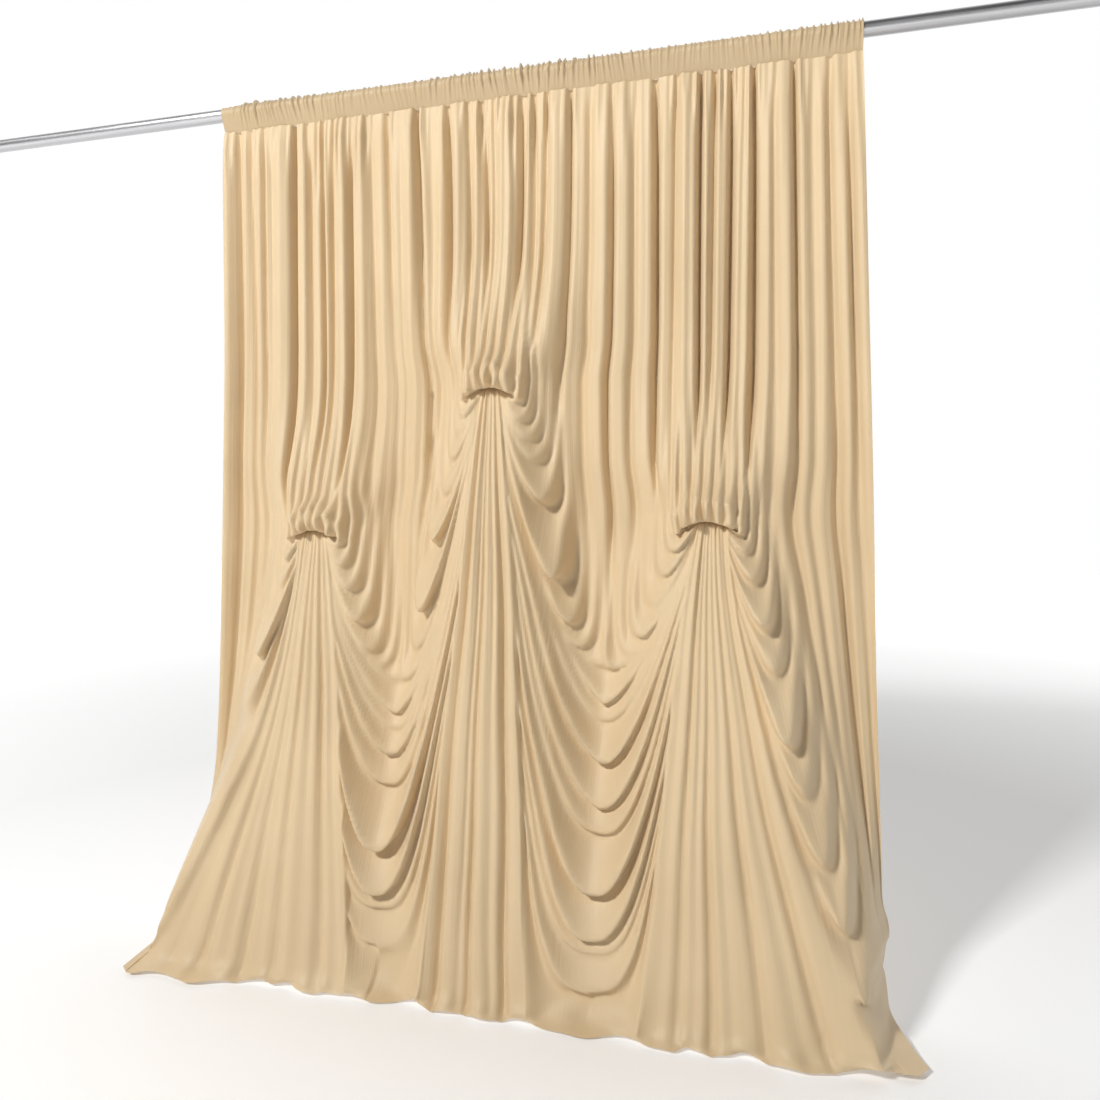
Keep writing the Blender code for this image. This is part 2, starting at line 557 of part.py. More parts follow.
def sheet_columns():
    """s of each column: the creases and crowns of the hanging folds, the cowls' arms and every pleat."""
    hanging = [row[0] for row in CREASES]
    places = [HEADING_LEFT, HEADING_RIGHT] + hanging
    places += [(a + b) / 2 for a, b in zip(hanging, hanging[1:])]
    for name, _, _, _, start, end in PICK_UPS:
        feet = [row[0] for row in PLEATS_LEFT_OF[name]] + [row[0] for row in reversed(PLEATS_RIGHT_OF[name])]
        _, left, right = FAN_SIDES[name][-1]
        pleats = [start + (end - start) * (foot - left) / (right - left) for foot in feet]
        places += [start, end] + [pleat for pleat in pleats if start < pleat < end]
        places += [(a + b) / 2 for a, b in zip(pleats, pleats[1:])]
        places += [row[0] for row in COWLS_LEFT_OF[name] + COWLS_RIGHT_OF[name] if not start < row[0] < end]
    places = sorted(place for place in places if HEADING_LEFT <= place <= HEADING_RIGHT)
    kept = [places[0]]
    for place in places[1:-1]:
        if place - kept[-1] > COLUMN_ROOM and places[-1] - place > COLUMN_ROOM:
            kept.append(place)
    kept.append(places[-1])
    filled = []
    for a, b in zip(kept, kept[1:]):
        filled += [a, (a + b) / 2] if b - a > NARROW else [a]
    return np.array(filled + [kept[-1]])


def line_heights(s):
    """w of the lines that the rows follow: where the cowls end, each swag, and the floor."""
    left, centre, right = PICK_UPS
    arms = [(HEADING_LEFT - 0.15, 0.0)] + [(row[0], row[1]) for row in reversed(COWLS_LEFT_OF["left"])]
    arms += [(left[1], left[2])] + [(row[0], row[1]) for row in COWLS_RIGHT_OF["left"][:-1]]
    arms += [(row[0], row[1]) for row in reversed(COWLS_LEFT_OF["centre"])] + [(centre[1], centre[2])]
    arms += [(row[0], row[1]) for row in COWLS_RIGHT_OF["centre"][:-1]]
    arms += [(row[0], row[1]) for row in reversed(COWLS_LEFT_OF["right"])] + [(right[1], right[2])]
    arms += [(row[0], row[1]) for row in COWLS_RIGHT_OF["right"]] + [(HEADING_RIGHT + 0.15, 0.0)]
    count = len(SWAGS_LEFT)
    lines = []
    for k in range(-1, count):
        w = np.full(s.shape, 0.8)
        for _ in range(SETTLE_ROUNDS):
            x = across(s, w)
            ended = np.interp(x, column(arms, 0), column(arms, 1))
            even = ended * (count - k) / (count + 1.0)
            height = ended if k < 0 else even
            if k >= 0:
                spans = ((left, centre, SPLIT_LEFT, SWAGS_LEFT[k]), (centre, right, SPLIT_RIGHT, SWAGS_RIGHT[k]))
                for first, second, split, row in spans:
                    arm_one = np.clip((x - split) / (first[1] - split), 0.0, 1.0)
                    arm_two = np.clip((x - split) / (second[1] - split), 0.0, 1.0)
                    swag = row[0] + (first[2] - row[0]) * arm_one ** row[2] + (second[2] - row[0]) * arm_two ** row[3]
                    near = smoothstep(0.85, 0.60, arm_one) * smoothstep(0.85, 0.60, arm_two)
                    near = near * ((x > first[1]) & (x < second[1]))
                    height = height + (np.minimum(swag, ended - 0.01) - height) * near
            w = 0.5 * w + 0.5 * height
        lines.append(w)
    return lines


def sheet_rows(s):
    """w of every row at each s."""
    lines = line_heights(s)
    rows = [SEAM_HEIGHT + (UPPER_END - SEAM_HEIGHT) * f + 0.0 * s for f in UPPER_STEPS]
    rows += [UPPER_END + (lines[0] - UPPER_END) * f for f in BESIDE_STEPS]
    for upper, lower in zip(lines, lines[1:]):
        rows += [upper + (lower - upper) * f for f in SWAG_STEPS]
    rows += [lines[-1] * (1 - f) for f in FOOT_STEPS]
    rows += [HEM_W * f + 0.0 * s for f in FLOOR_STEPS]
    return np.array(rows)


def drape_panel():
    s = sheet_columns()
    w = sheet_rows(s)
    x, y, z = sheet_point(np.broadcast_to(s, w.shape), w)
    front = np.stack([x, y, z], -1)
    back = front - CLOTH * outward(x, y, z)
    front[0, :, 2] = SEAM_HEIGHT
    back[0, :, 2] = SEAM_HEIGHT
    back[..., 2] = np.maximum(back[..., 2], 0.0)
    return thick_sheet("drape_panel", front, back)


# ---- the rod pocket: a sleeve round the rod, drawn together at its seam -------------
POCKET_STATIONS = 64
POCKET_SIDES = 14
POCKET_CLEAR = 0.0006
POCKET_BAND = 0.008          # half the depth of the closed lower edge
SLIT = 0.0015


def pocket_section(radius, bottom, half_bottom, count):
    """Arc over the rod, running straight down into a narrow flat edge: y and z, front to back."""
    points = []
    under = math.asin(radius / -bottom) + 0.06
    for k in range(count):
        angle = -under + (math.pi + 2 * under) * k / (count - 1)
        points.append((-radius * math.cos(angle), radius * math.sin(angle)))
    points.append((half_bottom, bottom))
    points.append((-half_bottom, bottom))
    return points


def rod_pocket():
    """Sleeve with an outer and an inner wall, open at both ends, its walls lightly shirred."""
    inner_radius = ROD_DIAMETER / 2 + POCKET_CLEAR
    outer_radius = inner_radius + CLOTH
    drop = SEAM_HEIGHT + GAP - ROD_HEIGHT
    outer = pocket_section(outer_radius, drop, POCKET_BAND, POCKET_SIDES)
    inner = pocket_section(inner_radius, drop + 2 * CLOTH, SLIT, POCKET_SIDES)
    mesh = bpy.data.meshes.new("rod_pocket")
    bm = bmesh.new()
    rings = []
    for i in range(POCKET_STATIONS):
        share = i / (POCKET_STATIONS - 1)
        x = HEADING_LEFT + (HEADING_RIGHT - HEADING_LEFT) * share
        puff = 0.0016 * (0.5 + 0.5 * math.sin(2.1 * i) * math.cos(0.7 * i)) * math.sin(math.pi * share) ** 0.2
        ring = []
        for points, grow in ((outer, puff), (inner, 0.0)):
            ring.append([])
            for y, z in points:
                stretch = 1 + grow / outer_radius if z > drop + 3 * CLOTH else 1.0
                ring[-1].append(bm.verts.new((x, y * stretch, ROD_HEIGHT + z * (stretch if z > 0 else 1.0))))
        rings.append(ring)
    around = len(outer)
    for here, ahead in zip(rings, rings[1:]):
        for k in range(around):
            n = (k + 1) % around
            bm.faces.new((here[0][k], here[0][n], ahead[0][n], ahead[0][k]))
            bm.faces.new((here[1][k], ahead[1][k], ahead[1][n], here[1][n]))
    for k in range(around):
        n = (k + 1) % around
        first, last = rings[0], rings[-1]
        bm.faces.new((first[0][k], first[1][k], first[1][n], first[0][n]))
        bm.faces.new((last[0][k], last[0][n], last[1][n], last[1][k]))
    bmesh.ops.recalc_face_normals(bm, faces=bm.faces)
    bm.to_mesh(mesh)
    bm.free()
    return add_object("rod_pocket", mesh)


def rod():
    """Round tube with plain flat end caps."""
    mesh = bpy.data.meshes.new("rod")
    bm = bmesh.new()
    length = ROD_RIGHT - ROD_LEFT
    made = bmesh.ops.create_cone(bm, cap_ends=True, segments=48, radius1=ROD_DIAMETER / 2,
                                 radius2=ROD_DIAMETER / 2, depth=length)
    bmesh.ops.rotate(bm, verts=made["verts"], cent=(0, 0, 0),
                     matrix=Matrix.Rotation(math.pi / 2, 3, "Y"))
    bmesh.ops.translate(bm, verts=made["verts"], vec=((ROD_LEFT + ROD_RIGHT) / 2, 0, ROD_HEIGHT))
    bm.to_mesh(mesh)
    bm.free()
    return add_object("rod", mesh)


def main():
    for obj in list(bpy.data.objects):
        bpy.data.objects.remove(obj)
    give_material(drape_panel(), (0.66, 0.50, 0.31), 0.55, 0.0)
    give_material(rod_pocket(), (0.62, 0.47, 0.29), 0.60, 0.0)
    give_material(rod(), (0.72, 0.72, 0.73), 0.35, 1.0)


main()
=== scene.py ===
# %% [markdown]
# # Spandex backdrop curtain on its rod
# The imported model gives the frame: a rod, the pocket round it and the hanging cloth. Here the
# cloth is draped again with finer folds, the pocket gets its small gathers, and all three get
# their finish. Sizes are metres, measured from the middle of the heading and from the floor.

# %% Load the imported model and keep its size
import math

import bmesh
import bpy
import numpy as np
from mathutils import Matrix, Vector


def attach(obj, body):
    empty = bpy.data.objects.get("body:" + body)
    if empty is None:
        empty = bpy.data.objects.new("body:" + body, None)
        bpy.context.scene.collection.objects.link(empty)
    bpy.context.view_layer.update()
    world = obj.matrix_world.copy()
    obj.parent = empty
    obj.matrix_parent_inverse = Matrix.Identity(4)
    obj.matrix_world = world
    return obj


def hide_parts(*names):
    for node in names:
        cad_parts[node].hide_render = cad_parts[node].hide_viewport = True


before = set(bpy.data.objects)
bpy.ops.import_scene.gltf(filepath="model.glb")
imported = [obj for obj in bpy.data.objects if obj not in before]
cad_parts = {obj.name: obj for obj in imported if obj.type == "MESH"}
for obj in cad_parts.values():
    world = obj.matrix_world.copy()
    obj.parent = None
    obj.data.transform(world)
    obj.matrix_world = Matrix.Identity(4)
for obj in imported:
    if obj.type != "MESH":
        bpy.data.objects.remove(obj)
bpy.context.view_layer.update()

# %% [markdown]
# ## Rod, heading and seam
# A backdrop curtain is a large piece of stretch knit. Its top is sewn into a pocket, and the
# pocket is pushed together on the crossbar of a stand, so the cloth hangs narrower than it is
# flat. A few sizes drive the rest: the bar, the two ends of the heading on it, and the stitch
# line that closes the pocket.

# %% Driving sizes
ROD_HEIGHT = 2.44            # middle of the bar over the floor
ROD_DIAMETER = 0.036
ROD_LEFT = -1.80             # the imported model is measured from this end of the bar
HEADING_LEFT = -0.888
HEADING_RIGHT = 0.907
SEAM_HEIGHT = 2.385
CLOTH = 0.002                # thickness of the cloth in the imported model
CLOTH_WIDE = 3.05            # the same cloth laid flat
CLOTH_LONG = 2.90
TO_ROW = Vector((-ROD_LEFT, 0.0, -ROD_HEIGHT))
print("heading", round(HEADING_RIGHT - HEADING_LEFT, 3), "m wide, from", CLOTH_WIDE, "m of cloth")

# %% [markdown]
# ## Where the cloth is gathered
# At three places the cloth is pinched together and tucked up. Its threads crowd there and spread
# again below, like a fan. A cloth simulation could look for such folds, but it is slow, and
# holding the tucks takes many tries. Tables are used instead: one fold can be changed without
# moving the others, and the curtain comes out the same at every run.

# %% Pick-ups and the sides of their fans
# name, x, height, how far forward, then where its gather starts and ends along the heading
PICK_UPS = (
    ("left", -0.545, 1.225, 0.100, -0.600, -0.465),
    ("centre", -0.022, 1.605, 0.105, -0.095, 0.060),
    ("right", 0.548, 1.255, 0.100, 0.475, 0.625),
)
# height as a share of the pick-up's, then x of the gather's left and right side
FAN_SIDES = {
    "left": ((1.90, -0.602, -0.466), (1.35, -0.606, -0.466), (1.12, -0.606, -0.470),
             (1.00, -0.592, -0.498), (0.86, -0.612, -0.482), (0.69, -0.652, -0.462), (0.47, -0.728, -0.436),
             (0.24, -0.846, -0.398), (0.10, -0.915, -0.370), (0.00, -0.962, -0.350)),
    "centre": ((1.45, -0.095, 0.060), (1.25, -0.092, 0.057), (1.08, -0.084, 0.048),
               (1.00, -0.060, 0.024), (0.75, -0.082, 0.034), (0.50, -0.106, 0.060),
               (0.22, -0.128, 0.100), (0.00, -0.150, 0.138)),
    "right": ((1.90, 0.478, 0.628), (1.35, 0.480, 0.628), (1.12, 0.484, 0.618),
              (1.00, 0.504, 0.594), (0.86, 0.496, 0.640), (0.70, 0.482, 0.694), (0.50, 0.464, 0.764),
              (0.26, 0.440, 0.868), (0.10, 0.424, 0.930), (0.00, 0.415, 0.965)),
}
print("pick-ups", [(name, height) for name, _, height, *_ in PICK_UPS])

# %% [markdown]
# ## Folds that hang from the pick-ups
# Cloth that is held up at one point hangs beside it in pockets, one inside the other. Such a cowl
# comes straight down, turns, and climbs back to the tuck. Further down, the folds reach from one
# pick-up to the next, and those are swags. Each fold is a row of its own, because that is how
# one would count and compare them on the real curtain.

# %% Cowls, going away from each pick-up
# x of the arm that hangs down, height of the lowest point, how far the fold stands out
COWLS_LEFT_OF = {
    "left": ((-0.630, 1.188, 0.044), (-0.652, 1.120, 0.040), (-0.680, 1.050, 0.024), (-0.708, 0.838, 0.044),
             (-0.752, 0.720, 0.036)),
    "centre": ((-0.108, 1.566, 0.044), (-0.122, 1.512, 0.040), (-0.140, 1.462, 0.034), (-0.160, 1.396, 0.050),
               (-0.180, 1.306, 0.024), (-0.208, 1.185, 0.060), (-0.242, 0.985, 0.056), (-0.266, 0.872, 0.022),
               (-0.288, 0.797, 0.034)),
    "right": ((0.462, 1.222, 0.044), (0.444, 1.162, 0.038), (0.422, 1.096, 0.044), (0.394, 1.010, 0.020),
              (0.360, 0.930, 0.050), (0.322, 0.880, 0.024), (0.287, 0.857, 0.034)),
}
COWLS_RIGHT_OF = {
    "left": ((-0.458, 1.165, 0.044), (-0.438, 1.108, 0.038), (-0.410, 1.045, 0.044), (-0.378, 0.950, 0.048),
             (-0.344, 0.858, 0.024), (-0.316, 0.815, 0.034), (-0.288, 0.797, 0.020)),
    "centre": ((0.070, 1.552, 0.044), (0.088, 1.500, 0.038), (0.110, 1.448, 0.040), (0.130, 1.396, 0.028),
               (0.152, 1.290, 0.048), (0.182, 1.083, 0.072), (0.222, 0.955, 0.032), (0.252, 0.892, 0.040),
               (0.287, 0.857, 0.024)),
    "right": ((0.634, 1.210, 0.044), (0.656, 1.164, 0.038), (0.682, 1.100, 0.046), (0.712, 0.975, 0.048),
              (0.734, 0.885, 0.024), (0.766, 0.704, 0.056), (0.804, 0.598, 0.034), (0.848, 0.440, 0.036),
              (0.888, 0.310, 0.050), (0.940, 0.150, 0.030)),
}
print("cowls", sum(len(rows) for rows in (*COWLS_LEFT_OF.values(), *COWLS_RIGHT_OF.values())))

# %% Swags of the two bays, highest first
# lowest height, how far it stands out, and how steeply its left and right arms climb
SWAGS_LEFT = (
    (0.722, 0.042, 1.8, 1.7),
    (0.672, 0.018, 1.8, 1.8),
    (0.622, 0.050, 1.9, 1.9),
    (0.545, 0.020, 2.1, 2.0),
    (0.425, 0.092, 2.2, 2.1),
    (0.285, 0.060, 2.5, 2.4),
    (0.225, 0.018, 2.6, 2.5),
    (0.135, 0.018, 2.9, 2.8),
)
SWAGS_RIGHT = (
    (0.782, 0.040, 1.6, 1.7),
    (0.730, 0.016, 1.7, 1.8),
    (0.658, 0.056, 1.8, 1.9),
    (0.532, 0.040, 2.0, 2.1),
    (0.468, 0.026, 2.1, 2.2),
    (0.357, 0.088, 2.2, 2.3),
    (0.222, 0.040, 2.4, 2.5),
    (0.175, 0.014, 2.5, 2.6),
    (0.110, 0.026, 2.8, 2.9),
)
SPLIT_LEFT, SPLIT_RIGHT = -0.288, 0.287          # x where the swags of each bay hang lowest
print("swags", len(SWAGS_LEFT), "and", len(SWAGS_RIGHT))

# %% [markdown]
# ## Pleats of the fans
# Under a pick-up the gathered cloth opens into broad pleats with a narrow crease between each two.
# The creases are what the eye follows, so the table holds them, and the pleats are what is left
# between them.

# %% Creases of each fan, outermost first
# foot x, how late it turns outwards, how deep it is. The first row of a side is the crown of
# the fan's edge
PLEATS_LEFT_OF = {
    "left": ((-0.980, 2.15, 0.030), (-0.890, 1.95, 0.005), (-0.800, 1.75, 0.042), (-0.725, 1.50, 0.005),
             (-0.664, 1.25, 0.074), (-0.618, 1.10, 0.006), (-0.560, 1.00, 0.030)),
    "centre": ((-0.150, 0.75, 0.030), (-0.110, 0.80, 0.048), (-0.052, 0.95, 0.005), (-0.022, 1.00, 0.044)),
    "right": ((0.415, 0.75, 0.030), (0.450, 0.80, 0.005), (0.500, 0.90, 0.058)),
}
PLEATS_RIGHT_OF = {
    "left": ((-0.350, 0.75, 0.030), (-0.385, 0.80, 0.006), (-0.432, 0.85, 0.054), (-0.492, 1.00, 0.008)),
    "centre": ((0.138, 0.75, 0.030), (0.078, 0.80, 0.050), (0.040, 1.00, 0.005)),
    "right": ((0.985, 1.60, 0.036), (0.862, 1.50, 0.046), (0.800, 1.40, 0.004), (0.715, 1.25, 0.048),
              (0.640, 1.10, 0.006), (0.584, 1.00, 0.068), (0.540, 1.00, 0.006)),
}
print("fan creases", sum(len(rows) for rows in (*PLEATS_LEFT_OF.values(), *PLEATS_RIGHT_OF.values())))

# %% [markdown]
# ## Creases under the heading
# Below the pushed-together pocket the cloth can't lie flat. It falls in soft bands with a crease
# between each two, and each crease drifts a little to the side on its way down. Evenly spaced
# waves would look like a ribbed sheet, so every crease has its own place, slide and depth.

# %% Creases that run down from the heading
# x at the heading, slide to the right for each metre down, depth, height where it is deepest
CREASES = (
    (-0.930, 0.000, 0.010, 1.60), (-0.842, 0.000, 0.020, 1.40), (-0.796, 0.010, 0.012, 2.10),
    (-0.750, 0.004, 0.018, 1.80), (-0.724, -0.006, 0.008, 2.20), (-0.654, 0.000, 0.030, 1.90),
    (-0.604, 0.010, 0.010, 2.10), (-0.568, 0.010, 0.016, 1.75), (-0.531, 0.000, 0.010, 2.15),
    (-0.474, 0.002, 0.020, 1.90), (-0.412, 0.012, 0.012, 1.70), (-0.358, 0.020, 0.014, 2.10),
    (-0.316, 0.000, 0.010, 1.60), (-0.268, 0.026, 0.028, 2.05), (-0.228, 0.006, 0.009, 1.50),
    (-0.176, 0.006, 0.026, 1.95), (-0.118, 0.012, 0.012, 2.05), (-0.070, 0.018, 0.018, 1.90),
    (-0.040, 0.000, 0.008, 2.20), (0.040, -0.010, 0.020, 1.95), (0.078, 0.004, 0.009, 1.80),
    (0.108, -0.008, 0.016, 2.05), (0.172, -0.002, 0.018, 1.60), (0.222, 0.004, 0.010, 2.10),
    (0.286, 0.000, 0.022, 1.70), (0.342, 0.002, 0.012, 1.40), (0.401, 0.004, 0.028, 1.95),
    (0.450, -0.004, 0.014, 2.10), (0.512, 0.004, 0.026, 1.90), (0.546, 0.000, 0.010, 2.15),
    (0.588, 0.000, 0.026, 1.95), (0.648, 0.004, 0.026, 1.80), (0.694, 0.010, 0.010, 1.50),
    (0.744, 0.008, 0.028, 1.90), (0.786, 0.002, 0.009, 2.15), (0.826, 0.010, 0.020, 1.20),
    (0.869, 0.014, 0.018, 1.70), (0.950, 0.000, 0.010, 1.60),
)
print("heading creases", len(CREASES))

# %% [markdown]
# ## Free sides, foot and hem
# The cloth is longer than the rod is high. It runs forward to its foot, and the rest lies on the
# floor, with a tail at each side. Three outlines are enough for this: the two free sides, the
# line where the cloth meets the floor, and the hem in front of it.

# %% Outlines of the cloth
# height, x of the left side, x of the right side
FREE_SIDES = ((2.385, -0.888, 0.907), (1.80, -0.893, 0.930), (1.30, -0.909, 0.950),
              (0.90, -0.926, 0.963), (0.45, -0.949, 0.981), (0.30, -0.964, 0.985), (0.22, -0.982, 1.003),
              (0.17, -0.996, 0.998), (0.13, -0.984, 0.990), (0.08, -0.990, 1.000), (0.00, -1.003, 1.000))
# place along the heading, how far forward the cloth meets the floor, how far the hem slides
# sideways, how late the cloth runs forward
FOOT = (
    (-0.888, 0.035, 0.003, 9.0),
    (-0.800, 0.130, 0.000, 7.0),
    (-0.700, 0.225, 0.000, 4.4),
    (-0.600, 0.295, 0.000, 2.2),
    (-0.530, 0.300, 0.000, 1.5),
    (-0.290, 0.270, 0.000, 1.5),
    (-0.020, 0.285, 0.000, 1.3),
    (0.270, 0.270, 0.000, 1.5),
    (0.550, 0.285, 0.000, 1.4),
    (0.650, 0.265, 0.010, 2.2),
    (0.780, 0.180, 0.035, 4.6),
    (0.907, 0.030, 0.066, 9.0),
)
# x, how far forward the hem lies
HEM = (
    (-1.006, 0.365), (-0.968, 0.388), (-0.925, 0.372), (-0.883, 0.366), (-0.830, 0.378), (-0.776, 0.386),
    (-0.720, 0.366), (-0.676, 0.352), (-0.600, 0.326), (-0.560, 0.336), (-0.519, 0.320), (-0.470, 0.350),
    (-0.444, 0.349), (-0.400, 0.334), (-0.342, 0.331), (-0.270, 0.338), (-0.231, 0.326), (-0.175, 0.308),
    (-0.142, 0.322), (-0.085, 0.336), (-0.028, 0.326), (0.020, 0.342), (0.060, 0.334), (0.107, 0.318),
    (0.195, 0.334), (0.280, 0.340), (0.372, 0.316), (0.434, 0.334), (0.500, 0.342), (0.530, 0.320),
    (0.578, 0.332), (0.620, 0.328), (0.659, 0.307), (0.720, 0.330), (0.782, 0.344), (0.850, 0.330),
    (0.923, 0.305), (1.034, 0.299), (1.066, 0.262),
)
print("hem from", HEM[0][0], "to", HEM[-1][0])

# %% [markdown]
# ## Tools for soft shapes
# Cloth has no corners, so outlines are read from their tables as smooth curves. These helpers
# give a soft step, a soft bump, and a curve through the rows of a table that never swings past
# them. An ordinary spline would, and that would look like a fold that isn't there.

# %% Soft steps, bumps and curves
def smoothstep(low, high, value):
    t = np.clip((value - low) / (high - low), 0.0, 1.0)
    return t * t * (3.0 - 2.0 * t)


def bell(value, half):
    return np.exp(-((value / half) ** 2))


def column(rows, index):
    return np.array([row[index] for row in rows])


def eased(value, places, heights):
    """Interpolates between rows without a kink at any of them."""
    order = np.argsort(places)
    places = np.asarray(places, float)[order]
    heights = np.asarray(heights, float)[order]
    steps = np.diff(heights) / np.diff(places)
    slopes = np.zeros(len(places))
    same = steps[1:] * steps[:-1] > 0
    slopes[1:-1] = np.where(same, 2 * steps[1:] * steps[:-1] / np.where(same, steps[1:] + steps[:-1], 1), 0)
    slopes[0], slopes[-1] = steps[0], steps[-1]
    value = np.clip(value, places[0], places[-1])
    k = np.clip(np.searchsorted(places, value, side="right") - 1, 0, len(places) - 2)
    h = places[k + 1] - places[k]
    t = (value - places[k]) / h
    return ((2 * t**3 - 3 * t**2 + 1) * heights[k] + (t**3 - 2 * t**2 + t) * h * slopes[k]
            + (3 * t**2 - 2 * t**3) * heights[k + 1] + (t**3 - t**2) * h * slopes[k + 1])


print("a soft step half way:", float(smoothstep(0.0, 1.0, 0.5)))

# %% [markdown]
# ## Where the threads run
# Every point of the cloth has two numbers: its place along the heading and its height. A thread
# that starts between two others stays between them down to the floor, so it is enough to know
# where the free sides and the sides of the gathers run. The threads between are shared out.

# %% Threads from the heading to the floor
LEAF = 0.12                  # share of a pleat's reach that it already has at the pick-up
PAST_FLOOR = 1.2             # share of their way that curves still follow, past the floor or the hem


def reach(z, pick, row):
    """How far to the side of its pick-up a pleat runs at each height."""
    _, middle, top, *_ = pick
    foot, late, _ = row
    fall = np.clip(1.0 - z / top, 0.0, PAST_FLOOR)
    return (foot - middle) * (LEAF + (1.0 - LEAF) * fall ** late)


def across(s, z):
    """x of each point: threads run down from the heading, crowd at a pick-up and fan out below."""
    heights = column(FREE_SIDES, 0)
    anchors = [HEADING_LEFT]
    places = [eased(z, heights, column(FREE_SIDES, 1))]
    for name, _, top, _, start, end in PICK_UPS:
        rows = FAN_SIDES[name]
        levels = column(rows, 0) * top
        for anchor, side in ((start, 1), (end, 2)):
            anchors.append(anchor)
            places.append(eased(z, levels, column(rows, side)))
    anchors.append(HEADING_RIGHT)
    places.append(eased(z, heights, column(FREE_SIDES, 2)))
    x = places[0].copy()
    for i in range(len(anchors) - 1):
        share = np.clip((s - anchors[i]) / (anchors[i + 1] - anchors[i]), 0.0, 1.0)
        x = x + (places[i + 1] - places[i]) * share
    return x


left_foot, right_foot = across(np.array([HEADING_LEFT, HEADING_RIGHT]), np.zeros(2))
print("width at the floor", round(float(right_foot - left_foot), 3))

# %% [markdown]
# ## Crowns of the folds
# A crown is the line along which a fold stands out most. For every point of the cloth, the next
# functions measure how far it is below or outside each crown. With these distances all folds
# of a side can be drawn at once, and two folds can't run through each other.

# %% Bundles that run down into the rolls
# how far each fold of a bundle is from its middle, at the heading and at the roll
BUNDLE = ((0.000, 0.000), (0.036, 0.026), (0.066, 0.056))
BUNDLE_HIGH = 0.45           # how far above a roll the folds of its bundle draw together
BUNDLE_DROOP = 0.6           # how much the folds of the bundle hang over
ROLL_STEP = 0.009            # how much lower each next fold of the roll hangs
FOLD_STAND = 0.017           # how far the folds of the bundle stand out
TIGHT_TURN, WIDE_TURN = 0.006, 0.026             # how sharply and how softly a fold may turn


def softest(values, soft):
    """A rounded maximum of several distances, and the share that each has in it."""
    most = np.maximum.reduce(values)
    shares = [np.exp((value - most) / soft) for value in values]
    total = sum(shares)
    return most + soft * np.log(total), [share / total for share in shares]


def bundle_curves(x, z, pick, sign):
    """Distances from the crowns of the folds that run down into the roll over a pick-up."""
    _, middle, top, *_ = pick
    rise = smoothstep(0.0, BUNDLE_HIGH, z - top)
    curves = []
    for k, (at_heading, at_roll) in enumerate(BUNDLE):
        place = at_roll + (at_heading - at_roll) * rise
        distance, shares = softest([sign * (x - middle) - place, top - ROLL_STEP * k - z], TIGHT_TURN)
        curves.append((distance, np.full(x.shape, FOLD_STAND), BUNDLE_DROOP * shares[1]))
    return curves


print("folds in a bundle", 2 * len(BUNDLE) - 1)

# %% Cowls
COWL_ARM = 2.3               # how late the inner arm of a cowl climbs to the pick-up
COWL_END = 0.55              # how near it ends to the fan's edge, as a share of the fan's reach
COWL_ROUND = 0.26            # how round a cowl hangs, as a share of its width
TIGHTEST = 0.002             # least distance between two crowns


def cowl_curves(x, z, pick, sign, cowls, edge):
    """Distances from the crowns of the cowls: each hangs down, turns and climbs beside the fan."""
    _, middle, top, *_ = pick
    fan = COWL_END * sign * reach(z, pick, edge)
    out = sign * (x - middle)
    curves = []
    for arm, low, stand in cowls:
        wide = sign * (arm - middle)
        inner = sign * reach(np.array(low), pick, edge)
        soft = float(np.clip(COWL_ROUND * (wide - inner), TIGHT_TURN, WIDE_TURN))
        room = np.maximum(wide - fan, 2 * TIGHTEST)
        share = np.clip((wide - out) / room, 0.0, 1.0)
        climb = COWL_ARM * (top - low) / room * share ** (COWL_ARM - 1.0)
        level_there = 1.0 / np.sqrt(1.0 + climb**2)
        below = (low + (top - low) * share ** COWL_ARM - z) * level_there
        distance, shares = softest([out - wide, below], soft)
        curves.append((distance, np.full(x.shape, stand), shares[1] * level_there))
    return curves


print("cowls end at", COWL_END, "of the fan's reach")

# %% Swags
SWAG_END = 0.12              # how near the swags end to the fan's edge, as a share of its reach
STEP = 0.001                 # spacing for slopes


def swag_curves(x, z, pick, sign, swags, arm_column, split, edge):
    """Distances from the crowns of the swags between two pick-ups."""
    _, middle, top, *_ = pick
    end = middle + SWAG_END * reach(z, pick, edge)
    arm = np.clip((x - split) / (end - split), 0.0, 1.0)
    arm_next = np.clip((x + STEP - split) / (end - split), 0.0, 1.0)
    curves = []
    for row in swags:
        height = row[0] + (top - row[0]) * arm ** row[arm_column]
        height_next = row[0] + (top - row[0]) * arm_next ** row[arm_column]
        level = 1.0 / np.sqrt(1.0 + ((height_next - height) / STEP) ** 2)
        curves.append(((height - z) * level, np.full(x.shape, row[1]), level))
    return curves


print("swags end at", SWAG_END, "of the fan's reach")

# %% All crowns on one side of a pick-up
FADE_BESIDE = 0.040          # how far beside a fan the folds still hang less
OUTER_DROOP = 0.3            # the folds on the outer sides hang down less
UNDER_FLOOR = 0.12           # below the last swag the next crown is a level line, this far down


def side_curves(x, z, pick, sign, cowls, swags, arm_column, split, pleats):
    """Signed distances from each fold's crown on one side of a pick-up, nearest fold first.

    Below or outside a crown its distance is positive. Each comes with how far the fold stands out
    and how level its crown runs there.
    """
    edge = sign * reach(z, pick, pleats[0]) - sign * (x - pick[1])
    curves = bundle_curves(x, z, pick, sign) + cowl_curves(x, z, pick, sign, cowls, pleats[0])
    if swags:
        curves += swag_curves(x, z, pick, sign, swags, arm_column, split, pleats[0])
        edge = np.maximum(edge, -UNDER_FLOOR - z)
    beside = smoothstep(0.0, FADE_BESIDE, -edge) * (1.0 if swags else OUTER_DROOP)
    curves = [(distance, stand, flat * beside) for distance, stand, flat in curves]
    curves.append((edge, np.full(x.shape, pleats[0][2]), 0.0 * x))
    return curves


